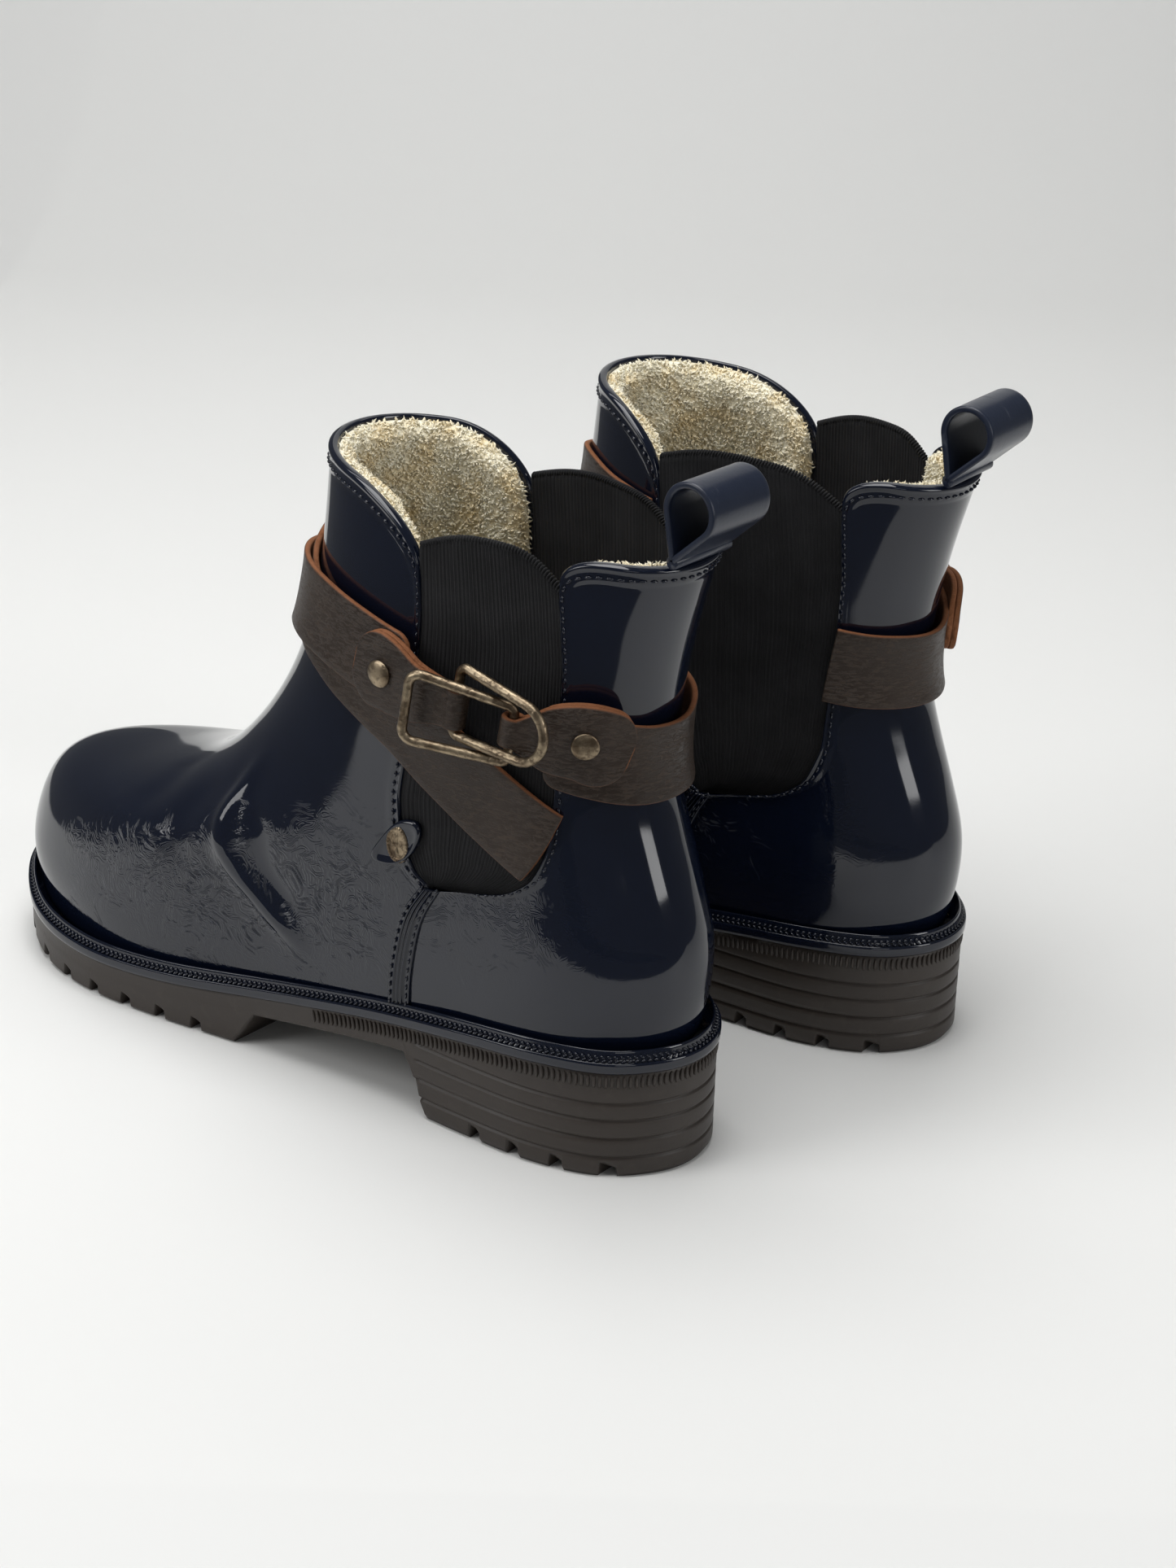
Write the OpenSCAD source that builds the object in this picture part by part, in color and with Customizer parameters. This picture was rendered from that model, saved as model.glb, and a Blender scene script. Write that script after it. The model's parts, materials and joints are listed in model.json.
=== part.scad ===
// A pair of lined ankle deck boots: gloss moulded uppers, elastic gores, a lugged sole with a
// block heel, fleece linings, leather straps and a buckle of two interlocked wire links.
// Each boot is drawn in its own frame: x = 0 at the back of the heel, toes towards +x,
// the outer (little-toe) side of the left boot towards +y, z = 0 on the ground.

/* [Sole] */
// Length of the sole, heel to toe
sole_length = 275; // [230:1:330]
// Width of the welt across the ball of the foot
ball_width = 95; // [79:0.5:114]
// Height of the sole's top face at the heel
heel_seat = 34; // [28:0.5:41]
// Thickness of the sole under the ball of the foot
forefoot_thickness = 12.5; // [10:0.5:15]
// Thickness of the sole at the waist
waist_thickness = 9; // [7:0.5:11]
// Length of the heel block
heel_length = 78; // [65:1:94]
// Depth of the grooves between the lugs
lug_depth = 4; // [2:0.5:5]
// Width of the grooves between the lugs
lug_gap = 4.5; // [3:0.5:6]
// Distance from one lug to the next
lug_pitch = 14; // [11:0.5:17]

/* [Welt and footbed] */
// Height of the welt over the sole
welt_height = 6.6; // [5:0.1:8]
// Thickness of the welt's lip, across
welt_lip = 2.4; // [2:0.1:3]
// Width of the welt's base under the upper
welt_base_width = 9; // [7:0.5:11]
// Thickness of the insole board
board_thickness = 1.6; // [1.2:0.1:2]
// Thickness of the fleece footbed
footbed_thickness = 5; // [4:0.5:6]

/* [Upper] */
// Height of the shaft's front over the sole
shaft_height = 176.5; // [147:0.5:212]
// Thickness of the moulded shell
shell_thickness = 2.2; // [1.8:0.1:2.7]
// Thickness of the elastic gores
gore_thickness = 1.8; // [1.4:0.1:2.2]
// Thickness of the fleece lining
lining_thickness = 6; // [5:0.5:7.5]
// Gap along a sewn seam
seam_gap = 0.5; // [0.4:0.1:0.8]
// Width of the side seam's cover strip
side_seam_width = 8.5; // [7:0.5:10]

/* [Pull loop] */
// Width of the pull loop's band
loop_width = 25; // [20:0.5:30]
// Thickness of the pull loop's band
loop_thickness = 2; // [1.6:0.1:2.4]
// Outer radius of the pull loop's bend
loop_radius = 8.5; // [7:0.1:10.2]
// Height of the bend's centre over the loop's root
loop_rise = 15; // [12.5:0.5:18]
// How far the bend's centre hangs behind the root
loop_lean = 5; // [3:0.5:7]

/* [Straps] */
// Width of the leather straps
strap_width = 24; // [20:0.5:28]
// Thickness of the leather
leather = 1.8; // [1.5:0.1:2.2]
// Width of a tab at its rivet
tab_width = 23; // [19:0.5:27]
// Rivet head's diameter
rivet_head = 8; // [6.5:0.1:9.6]
// Rivet post's diameter
rivet_post = 3; // [2.5:0.1:3.6]

/* [Buckle] */
// Diameter of the links' wire
wire = 3; // [2.5:0.1:3.6]
// Length of a link between its two end bars
link_length = 31; // [28:0.5:35]
// Width of a link at its wide end, wire centre to wire centre
link_wide = 21; // [19:0.5:24]
// Width of the front link at its captured bar
link_narrow = 17; // [15.5:0.5:19]
// Distance between the two captured bars
link_overlap = 18; // [16.5:0.5:20]

/* [Pair] */
// Distance from the left boot's heel to the right boot's heel, across
pair_gap = 112.6; // [100:0.2:135]
// How far the right boot stands back
pair_stagger = 12.6; // [0:0.2:20]
// How far the right boot is turned, in degrees
pair_turn = 4; // [0:0.5:6]

/* [Hidden] */
PIECES = ["outsole", "welt", "insole_board", "footbed", "front_upper", "back_upper",
    "gore_outer", "gore_inner", "side_seam_outer", "side_seam_inner", "lining_front",
    "lining_back", "pull_loop", "strap_front", "strap_cross", "strap_back", "tab_front",
    "tab_back", "link_front", "link_back", "rivet_front", "rivet_back", "washer_front",
    "washer_back", "emblem_tab", "emblem"];
SIDES = ["left", "right"];

// Clearances
fit_gap = 0.3;          // between two pieces that lie on each other
lining_gap = 1;         // between the shell and the fleece's backing
wire_play = 0.25;       // between a link's bar and the leather loop round it
hole_play = 0.1;        // between a rivet's post and its hole

// Colours
navy = [0.03, 0.04, 0.08];
rubber_brown = [0.10, 0.08, 0.07];
elastic_black = [0.03, 0.03, 0.03];
fleece_cream = [0.85, 0.78, 0.62];
leather_brown = [0.22, 0.15, 0.11];
brass = [0.50, 0.43, 0.30];

// ---- curves ---------------------------------------------------------------------------------

// A smooth curve through four neighbours, between the middle two
function smooth4(p0, p1, p2, p3, t) =
    p1 + 0.5 * t * (p2 - p0 + t * (2 * p0 - 5 * p1 + 4 * p2 - p3 + t * (3 * (p1 - p2) + p3 - p0)));

// A smooth curve through a whole list, at station u counted from 0
function along(list, u) =
    let (n = len(list), i = max(0, min(n - 2, floor(u))),
         p1 = list[i], p2 = list[i + 1],
         p0 = i > 0 ? list[i - 1] : 2 * p1 - p2,
         p3 = i + 2 < n ? list[i + 2] : 2 * p2 - p1)
    smooth4(p0, p1, p2, p3, u - i);

function unit(v) = v / norm(v);
function mix(a, b, t) = a + (b - a) * t;
function ease(t) = t <= 0 ? 0 : t >= 1 ? 1 : t * t * (3 - 2 * t);

// ---- the sole's lines -----------------------------------------------------------------------

// The last is drawn for a sole of 275 by 95 and a shaft of 176.5, then stretched
last_scale = [sole_length / 275, ball_width / 95, shaft_height / 176.5];
toe_rise = 9.5;                // how far the sole's top face rises from the ball to the toe
toe_spring = 8;                // how far the tread lifts off the ground at the toe

// Height of the sole's top face at x
function sole_top(x) =
    let (u = x / sole_length)
    forefoot_thickness + (heel_seat - forefoot_thickness) * (1 - ease((u - 0.07) / 0.68))
    + toe_rise * pow(max(0, (u - 0.745) / 0.255), 2.4);

// The welt's outer edge, round from the heel along the outer side and back along the inner
WELT = [[0, 0], [4, 14], [16, 27], [36, 34], [62, 36], [100, 36.5], [140, 40], [180, 46.5],
    [212, 48.5], [240, 42], [262, 26], [273, 6], [275, -11], [270, -26], [255, -39],
    [228, -46.5], [195, -46], [150, -39.5], [105, -36], [62, -35], [36, -33], [16, -26], [4, -14]];
welt_steps = 2 * len(WELT);    // stations round the welt

function welt_raw(i) =
    let (n = len(WELT), u = i * n / welt_steps, k = floor(u),
         p = [for (j = [-1:2]) WELT[(k + j + 2 * n) % n]],
         q = smooth4(p[0], p[1], p[2], p[3], u - k))
    [q[0] * last_scale[0], q[1] * last_scale[1]];

// A point of the outline, moved inwards
function outline(i, inset) =
    let (d = welt_raw(i + 1) - welt_raw(i - 1 + welt_steps), n = unit([d[1], -d[0]]))
    welt_raw(i) + n * inset;

// ---- the last: the upper's outer surface ----------------------------------------------------

// One ring per row, from the sole to the top line: back x, height over the sole there, front x,
// height over the sole there, half widths from back to front on the outer and the inner side
LAST = [
    [ 6,   3, 270,   3,   25.5, 32.0, 35.5, 43.5, 29.0,   25.5, 31.0, 34.0, 40.5, 31.0],
    [ 3,  17, 272,  19,   26.0, 33.0, 36.5, 44.5, 30.0,   26.0, 32.0, 35.0, 41.5, 32.0],
    [ 3,  32, 259,  44,   25.5, 32.5, 36.5, 43.5, 27.0,   25.5, 31.5, 35.5, 40.5, 28.5],
    [ 8,  48, 220,  56,   23.5, 31.0, 36.0, 38.5, 24.0,   23.5, 30.5, 35.5, 37.0, 25.0],
    [14,  64, 187,  68,   22.0, 30.0, 35.0, 34.5, 22.0,   22.0, 30.0, 35.0, 34.5, 22.5],
    [19,  81, 163,  89,   20.5, 29.0, 34.0, 32.5, 20.5,   20.5, 29.0, 34.0, 32.5, 20.5],
    [19, 101, 147, 114,   20.0, 29.0, 34.0, 32.0, 20.0,   20.0, 29.0, 34.0, 32.0, 20.0],
    [15, 123, 139, 144,   20.0, 29.0, 34.0, 32.0, 20.0,   20.0, 29.0, 34.0, 32.0, 20.0],
    [ 9, 145, 135, 176.5, 20.0, 28.5, 33.5, 32.0, 20.5,   20.0, 28.5, 33.5, 32.0, 20.5]];
// How closely each ring follows the sole's curved top face
FOLLOW = [1, 0.9, 0.55, 0.2, 0, 0, 0, 0, 0];
STATION_SINES = [sin(30), sin(60), 1, sin(60), sin(30)];

// The surface point at angle a (0 at the back, 90 on the outer side, 180 at the front) and
// at level v (0 at the sole, 1 at the top line)
function skin(a, v) =
    let (k = along(LAST, v * 8), follow = along(FOLLOW, v * 8),
         angle = a % 360, outer = angle <= 180, q = outer ? angle : 360 - angle,
         w = [for (i = [0:4]) k[(outer ? 4 : 9) + i] / STATION_SINES[i]],
         halves = concat([1.02 * w[0]], w, [1.02 * w[4]]),
         share = (1 - cos(q)) / 2,
         xb = k[0] * last_scale[0], xf = k[2] * last_scale[0],
         zb = k[1] * last_scale[2] + sole_top(xb), zf = k[3] * last_scale[2] + sole_top(xf),
         x = mix(xb, xf, share),
         y = (outer ? 1 : -1) * along(halves, q / 30) * sin(q) * last_scale[1],
         sag = sole_top(x) - mix(sole_top(xb), sole_top(xf), share))
    [x, y, mix(zb, zf, share) + follow * sag];

// The two directions along the surface and its outward normal
function slope_round(a, v) = (skin(a + 360.5, v) - skin(a + 359.5, v));
function slope_up(a, v) = (skin(a, v + 0.004) - skin(a, v - 0.004)) / 0.008;
function outward(a, v) = unit(cross(slope_up(a, v), slope_round(a, v)));

// A point at a distance off the surface
function off_skin(a, v, d) = skin(a, v) + d * outward(a, v);

// ---- the panels' edges on the last ----------------------------------------------------------

seam_angle = 67.5;             // where the side seam runs, on both sides
gore_foot = 0.35;              // level of the gores' lower edge
// Level and angle along each edge of the gores; inner angles count from the back as well
GORE_FRONT_OUTER = [[0, seam_angle], [gore_foot, seam_angle], [0.37, 71], [0.46, 78], [0.57, 84],
    [0.68, 87], [0.86, 91], [0.95, 95], [1.02, 98]];
GORE_FRONT_INNER = [[0, seam_angle], [gore_foot, seam_angle], [0.37, 71], [0.46, 79], [0.57, 87],
    [0.68, 94], [0.86, 105], [0.95, 110], [1.02, 113]];
GORE_REAR = [[0, seam_angle], [gore_foot - 0.005, seam_angle], [0.36, 59], [0.38, 53],
    [0.43, 47], [0.52, 42.5], [0.62, 41], [0.74, 41.5], [0.85, 45], [0.93, 50], [1.02, 56]];

// Levels of the rows, closer together round the gores' feet
ROWS = [0, 0.06, 0.13, 0.2, 0.28, 0.34, 0.36, 0.38, 0.42, 0.47, 0.54, 0.62, 0.7, 0.78, 0.86,
    0.92, 0.97, 1];
GORE_ROWS = [0, 0.02, 0.05, 0.11, 0.19, 0.3, 0.42, 0.55, 0.68, 0.8, 0.91, 1];

// Half the seam gap as an angle: about 0.7 degrees per millimetre round the ankle
function gap_angle() = seam_gap / 2 * 0.8 / last_scale[0];

// How far a top corner is rounded off, from 0 inside to 1 at the edge
function corner(s, reach) = pow(max(0, 1 - min(s, 1 - s) / reach), 2);

// Panel points from s (across) and t (up), at depth d off the surface
function front_point(s, t, d, top, trim) =
    let (v = t * (top - 0.075 * corner(s, 0.2)),
         a0 = lookup(v, GORE_FRONT_OUTER) + gap_angle() + trim,
         a1 = 360 - lookup(v, GORE_FRONT_INNER) - gap_angle() - trim)
    off_skin(mix(a0, a1, s), v, d);

function back_point(s, t, d, top, trim) =
    let (v = t * (top - 0.05 * corner(s, 0.2)),
         a0 = -lookup(v, GORE_REAR) + gap_angle() + trim,
         a1 = lookup(v, GORE_REAR) - gap_angle() - trim)
    off_skin(mix(a0, a1, s) + 360, v, d);

// The gores' lower edge follows the panels' corner; their top has a soft hump
function gore_point(s, t, d, front, side) =
    let (foot = gore_foot + 0.012, top = 0.955 + 0.035 * sin(180 * (1 - s)),
         v = mix(foot, top, t),
         a0 = lookup(v, GORE_REAR) + gap_angle(), a1 = lookup(v, front) - gap_angle(),
         a = mix(a0, a1, s))
    off_skin(side > 0 ? a : 360 - a, v, d);

// ---- solids from grids of points ------------------------------------------------------------

// A sheet with thickness: two grids of (m + 1) by (n + 1) points, the outer and the inner face
module sheet(outer, inner, m, n) {
    w = m + 1;
    k = w * (n + 1);
    function quad(a, b, c, d) = [[a, c, b], [a, d, c]];
    faces = concat(
        [for (j = [0:n - 1]) for (i = [0:m - 1])
            each quad(j * w + i, (j + 1) * w + i, (j + 1) * w + i + 1, j * w + i + 1)],
        [for (j = [0:n - 1]) for (i = [0:m - 1])
            each quad(k + j * w + i, k + j * w + i + 1, k + (j + 1) * w + i + 1,
                k + (j + 1) * w + i)],
        [for (i = [0:m - 1]) each quad(i, i + 1, k + i + 1, k + i)],
        [for (i = [0:m - 1])
            each quad(n * w + i + 1, n * w + i, k + n * w + i, k + n * w + i + 1)],
        [for (j = [0:n - 1]) each quad((j + 1) * w, j * w, k + j * w, k + (j + 1) * w)],
        [for (j = [0:n - 1])
            each quad(j * w + m, (j + 1) * w + m, k + (j + 1) * w + m, k + j * w + m)]);
    polyhedron(points = concat(outer, inner), faces = faces);
}

// A plate between two rings of n points each, where point i faces point n - i
module plate(low, high) {
    n = len(low);
    h = n / 2;
    faces = concat(
        [for (i = [0:n - 1]) let (j = (i + 1) % n) each [[i, n + j, n + i], [i, j, n + j]]],
        [[0, n - 1, 1], [h, h - 1, h + 1]],
        [for (i = [1:h - 2]) each [[i, n - i - 1, i + 1], [i, n - i, n - i - 1]]],
        [[n, n + 1, 2 * n - 1], [n + h, n + h + 1, n + h - 1]],
        [for (i = [1:h - 2])
            each [[n + i, n + i + 1, 2 * n - i - 1], [n + i, 2 * n - i - 1, 2 * n - i]]]);
    polyhedron(points = concat(low, high), faces = faces);
}

// A closed band: rings of m points, one ring per station, joined end to end
module closed_band(rings) {
    n = len(rings);
    m = len(rings[0]);
    faces = [for (i = [0:n - 1]) for (j = [0:m - 1])
        let (i2 = (i + 1) % n, j2 = (j + 1) % m)
        each [[i * m + j, i2 * m + j, i2 * m + j2], [i * m + j, i2 * m + j2, i * m + j2]]];
    polyhedron(points = [for (r = rings) each r], faces = faces);
}

// ---- sole -----------------------------------------------------------------------------------

module outsole_outline(inset) {
    polygon([for (i = [0:welt_steps - 1]) outline(i, inset)]);
}

// Height of the tread at x: flat on the ground, then lifting towards the toe
function tread(x) = toe_spring * ease((x / sole_length - 0.8) / 0.28);

// The sole seen from its outer side, with the grooves between the lugs
module sole_profile() {
    step = sole_length / 44;
    waist_start = heel_length + 6;
    waist_end = sole_length * 0.52;
    top = [for (i = [44:-1:0]) [i * step, sole_top(i * step)]];
    waist = [for (i = [0:8]) let (x = mix(waist_start, waist_end, i / 8))
        [x, sole_top(x) - waist_thickness * (1 - 0.25 * i / 8)]];
    ball = [for (i = [0:10]) let (x = mix(waist_end + 8, sole_length, i / 10)) [x, tread(x)]];
    difference() {
        polygon(concat(top, [[0, 0], [heel_length - 3, 0], [heel_length, 8]], waist, ball));
        for (x = [lug_pitch:lug_pitch:heel_length - lug_gap - 4]) lug_groove(x, 0);
        for (x = [waist_end + 8 + lug_pitch:lug_pitch:sole_length - 8]) lug_groove(x, tread(x));
    }
}

module lug_groove(x, z) {
    polygon([[x - lug_gap / 2, z - 6], [x - lug_gap / 2, z + lug_depth * 0.7],
        [x + lug_gap / 4, z + lug_depth], [x + lug_gap / 2, z + lug_depth],
        [x + lug_gap / 2 + 0.8, z - 6]]);
}

module outsole() {
    color(rubber_brown) intersection() {
        linear_extrude(heel_seat + 10) outsole_outline(1);
        translate([0, ball_width, 0]) rotate([90, 0, 0]) linear_extrude(2 * ball_width)
            sole_profile();
    }
}

// ---- welt, board and footbed ----------------------------------------------------------------

welt_foot = 2;                 // thickness of the welt's base, under the upper's edge

module welt() {
    color(navy) closed_band([for (i = [0:welt_steps - 1])
        let (at = [for (inset = [0, welt_lip, welt_lip + 0.6, welt_base_width])
                 outline(i, inset)],
             base = [for (p = at) sole_top(p[0]) + fit_gap])
        [[at[0][0], at[0][1], base[0]],
         [at[0][0], at[0][1], base[0] + welt_height],
         [at[1][0], at[1][1], base[0] + welt_height],
         [at[2][0], at[2][1], base[2] + welt_foot],
         [at[3][0], at[3][1], base[3] + welt_foot],
         [at[3][0], at[3][1], base[3]]]]);
}

plate_steps = 48;              // stations round the board and the footbed

// A ring inside the upper, at a height over the sole
function inner_ring(level, depth, height) =
    [for (i = [0:plate_steps - 1])
        let (p = off_skin(360 * i / plate_steps, level, -depth))
        [p[0], p[1], sole_top(p[0]) + height]];

board_base = fit_gap;
footbed_base = board_base + board_thickness + fit_gap;
lining_depth = shell_thickness + lining_gap + lining_thickness;

module insole_board() {
    inset = welt_base_width + fit_gap + 0.5;
    color(leather_brown) plate(inner_ring(0.02, inset - 2, board_base),
        inner_ring(0.02, inset - 2, board_base + board_thickness));
}

module footbed() {
    ring_depth = lining_depth + 2 * fit_gap + 0.5;
    color(fleece_cream) plate(inner_ring(0.03, ring_depth, footbed_base),
        inner_ring(0.03, ring_depth, footbed_base + footbed_thickness));
}

// ---- uppers, gores, linings -----------------------------------------------------------------

front_columns = 28;
back_columns = 20;
gore_columns = 6;

module front_upper() {
    n = len(ROWS) - 1;
    m = front_columns;
    color(navy) sheet(
        [for (t = ROWS) for (i = [0:m]) front_point(i / m, t, 0, 1, 0)],
        [for (t = ROWS) for (i = [0:m]) front_point(i / m, t, -shell_thickness, 1, 0)], m, n);
}

module back_upper() {
    n = len(ROWS) - 1;
    m = back_columns;
    color(navy) sheet(
        [for (t = ROWS) for (i = [0:m]) back_point(i / m, t, 0, 1.02, 0)],
        [for (t = ROWS) for (i = [0:m]) back_point(i / m, t, -shell_thickness, 1.02, 0)], m, n);
}

module gore(front, side) {
    n = len(GORE_ROWS) - 1;
    m = gore_columns;
    sink = 0.2;                // the elastic lies just under the shell's face
    outer = [for (t = GORE_ROWS) for (i = [0:m]) gore_point(i / m, t, -sink, front, side)];
    inner = [for (t = GORE_ROWS) for (i = [0:m])
        gore_point(i / m, t, -sink - gore_thickness, front, side)];
    color(elastic_black) if (side > 0) sheet(outer, inner, m, n);
        else sheet(inner, outer, m, n);
}

module gore_outer() { gore(GORE_FRONT_OUTER, 1); }
module gore_inner() { gore(GORE_FRONT_INNER, -1); }

// The fleece starts above the footbed's edge and stops short of the gores
LINING_ROWS = [0.05, 0.13, 0.2, 0.28, 0.36, 0.45, 0.54, 0.64, 0.74, 0.84, 0.92, 0.97, 1];
lining_trim = 1.5;             // degrees that the fleece stays back from the panels' edges

module lining_front() {
    n = len(LINING_ROWS) - 1;
    m = 22;
    near = -shell_thickness - lining_gap;
    color(fleece_cream) sheet(
        [for (t = LINING_ROWS) for (i = [0:m]) front_point(i / m, t, near, 0.995, lining_trim)],
        [for (t = LINING_ROWS) for (i = [0:m])
            front_point(i / m, t, near - lining_thickness, 0.995, lining_trim)], m, n);
}

module lining_back() {
    n = len(LINING_ROWS) - 1;
    m = 16;
    near = -shell_thickness - lining_gap;
    color(fleece_cream) sheet(
        [for (t = LINING_ROWS) for (i = [0:m]) back_point(i / m, t, near, 1, lining_trim)],
        [for (t = LINING_ROWS) for (i = [0:m])
            back_point(i / m, t, near - lining_thickness, 1, lining_trim)], m, n);
}

// The ribbed strip that covers the side seam below a gore
module side_seam(angle, side) {
    n = 8;
    half = side_seam_width / 2 / norm(slope_round(angle, 0.2));
    function row(d, flip) = [for (j = [0:n]) for (i = flip ? [1, 0, -1] : [-1, 0, 1])
        off_skin(angle + i * half, mix(0.05, gore_foot - 0.02, j / n), d)];
    color(navy) sheet(row(fit_gap + 1, false), row(fit_gap, false), 2, n);
}

module side_seam_outer() { side_seam(seam_angle, 1); }
module side_seam_inner() { side_seam(360 - seam_angle, -1); }

// ---- pull loop ------------------------------------------------------------------------------

rim = skin(0, 1.02);                        // top of the back panel, at the back
root_radius = 2;                               // the welded root of the loop
loop_root = [rim[0] + shell_thickness / 2, rim[2] + root_radius + 2 * fit_gap];
loop_centre = loop_root + [-loop_lean, loop_rise];

// A drop shape: a round end and two tangents to a tip
module drop(radius, tip) {
    d = tip - loop_centre;
    aim = atan2(d[1], d[0]);
    spread = acos(radius / norm(d));
    polygon(concat([tip], [for (i = [0:24])
        let (a = aim + spread + i / 24 * (360 - 2 * spread))
        loop_centre + radius * [cos(a), sin(a)]]));
}

module pull_loop() {
    inner_tip = mix(loop_root, loop_centre, 0.3);
    color(navy) translate([0, loop_width / 2, 0]) rotate([90, 0, 0]) {
        linear_extrude(loop_width) union() {
            difference() {
                drop(loop_radius, loop_root - [0, 0.5]);
                drop(loop_radius - loop_thickness, inner_tip);
            }
            translate(loop_root) circle(root_radius, $fn = 32);
        }
    }
}

// ---- straps ---------------------------------------------------------------------------------

// Each strap's middle line: angle, level and height of its inner face off the shell
STRAP_FRONT = [[251, 0.67, 2.8], [235, 0.70, 2.8], [215, 0.75, 2.8], [195, 0.79, 3.2],
    [175, 0.81, 3.4], [155, 0.82, 3.2], [135, 0.82, 2.8], [115, 0.81, 2.8], [90, 0.785, 2.8]];
STRAP_CROSS = [[251, 0.85, 0.4], [235, 0.86, 0.4], [215, 0.87, 0.4], [195, 0.86, 0.4],
    [175, 0.845, 0.4], [155, 0.825, 0.4], [135, 0.805, 0.4], [115, 0.775, 0.4],
    [90, 0.718, 0.4], [70, 0.637, 0.4], [43, 0.512, 0.4]];
STRAP_BACK = [[318, 0.70, 1.4], [335, 0.685, 2], [352, 0.675, 3], [369, 0.675, 2.3],
    [386, 0.695, 1.4], [403, 0.72, 1.4]];

strap_steps = 26;

// A point beside a strap's middle line, moved a distance across it along the surface
function beside(a, v, da, dv, shift) =
    let (sr = slope_round(a, v), su = slope_up(a, v), n = outward(a, v),
         run = unit(sr * da + su * dv), side = cross(run, n) * shift,
         g11 = sr * sr, g12 = sr * su, g22 = su * su, det = g11 * g22 - g12 * g12,
         r1 = side * sr, r2 = side * su)
    [a + (r1 * g22 - r2 * g12) / det, v + (r2 * g11 - r1 * g12) / det];

function strap_grid(line, width, lift) =
    [for (j = [0:strap_steps])
        let (u = j * (len(line) - 1) / strap_steps, p = along(line, u),
             q = along(line, u + 0.05) - along(line, u - 0.05))
        for (k = [-1, 0, 1])
            let (b = beside(p[0], p[1], q[0], q[1], k * width / 2))
            off_skin(b[0], b[1], p[2] + lift)];

module strap(line) {
    sheet(strap_grid(line, strap_width, 0), strap_grid(line, strap_width, leather), 2,
        strap_steps);
}

// ---- buckle: where it sits ------------------------------------------------------------------

// The buckle lies along the chord between these two places on the outer side
buckle_front = skin(84.7, 0.775);
buckle_back = skin(40.6, 0.735);
bar_height = 0.4 + leather + 0.6 + wire / 2 + wire_play + leather + 0.2;
buckle_along = unit(buckle_back - buckle_front);
buckle_out = unit([buckle_along[1], -buckle_along[0], 0]);
buckle_up = cross(buckle_out, buckle_along);
buckle_centre = (buckle_front + buckle_back) / 2 + buckle_out * bar_height;

// From the buckle's own frame (along, up, out) to the boot's
module at_buckle() {
    c = buckle_centre;
    multmatrix([[buckle_along[0], buckle_up[0], buckle_out[0], c[0]],
        [buckle_along[1], buckle_up[1], buckle_out[1], c[1]],
        [buckle_along[2], buckle_up[2], buckle_out[2], c[2]],
        [0, 0, 0, 1]]) children();
}

function buckle_point(u, t, w) =
    buckle_centre + buckle_along * u + buckle_up * t + buckle_out * w;

link_tilt = asin((wire + fit_gap) / link_overlap);
link_shift = (wire + 0.3 + (link_wide - link_narrow) / 4) / 2;

// ---- links ----------------------------------------------------------------------------------

wire_sides = 12;
bar_bend = 2.2;                // radius of the bends beside a link's captured bar
corner_bend = 3.5;             // radius of the corners at a flat free end
bar_lap = 0.2;                 // how far the captured bar runs over the bent wire's ends
bend_radius = wire / 2 - 0.06; // the bent wire, a hair thinner so that it ends inside the bar

// A stretch of bent wire round a centre: wire centres, each with the angle it lies at
function bend(centre, radius, from, to, steps) =
    [for (i = [0:steps]) let (a = mix(from, to, i / steps))
        [centre[0] + radius * cos(a), centre[1] + radius * sin(a), a]];

// A round wire through such places, closed at both ends
module bent_wire(path) {
    n = len(path);
    m = wire_sides;
    points = [for (p = path) for (k = [0:m - 1]) let (f = 360 * k / m, r = bend_radius * cos(f))
        [p[0] + r * cos(p[2]), p[1] + r * sin(p[2]), bend_radius * sin(f)]];
    walls = [for (i = [0:n - 2]) for (k = [0:m - 1])
        let (a = i * m + k, b = i * m + (k + 1) % m)
        each [[a, b + m, b], [a, a + m, b + m]]];
    polyhedron(points = points,
        faces = concat(walls, [[for (k = [0:m - 1]) k], [for (k = [m - 1:-1:0]) (n - 1) * m + k]]));
}

// A flat wire link: its captured bar lies at x = 0 along y, its free end at x = link_length.
// The free end is flat with rounded corners, or one round bend
module link(bar_width, end_width, round_end) {
    taper = atan2((end_width - bar_width) / 2, link_length);
    turn = 90 + taper;
    bar_end = bar_width / 2 - bar_bend * tan((180 - turn) / 2);
    end_bend = round_end ? end_width / 2 / tan(turn / 2) - 0.05 : corner_bend;
    end_y = end_width / 2 - end_bend * tan(turn / 2);
    half = concat(bend([bar_bend, bar_end], bar_bend, 180, turn, 4),
        bend([link_length - end_bend, end_y], end_bend, turn, 0, 7));
    last = len(half) - 1;
    bent_wire(concat(half, [for (i = [last:-1:0]) [half[i][0], -half[i][1], -half[i][2]]]));
    rotate([90, 0, 0]) cylinder(h = 2 * (bar_end + bar_lap), d = wire, center = true, $fn = 24);
}

// The front link: its bar is held by the back tab, its flat end points forwards
module link_front() {
    color(brass) at_buckle() translate([link_overlap / 2, -link_shift, 0])
        rotate([0, link_tilt, 0]) rotate([0, 0, 180])
            link(link_narrow, link_wide, false);
}

// The back link: its bar is held by the front tab, its round end points backwards
module link_back() {
    color(brass) at_buckle() translate([-link_overlap / 2, link_shift, 0])
        rotate([0, -link_tilt, 0]) link(link_wide, link_narrow - 1, true);
}

// ---- tabs -----------------------------------------------------------------------------------

tab_thickness = 2 * leather;
tab_lift = 2.8 + leather + fit_gap;            // the tabs' inner face, over the front strap
back_lift = 1.6 + leather + fit_gap;           // the same over the back strap
loop_outer = wire / 2 + wire_play + leather;

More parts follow.
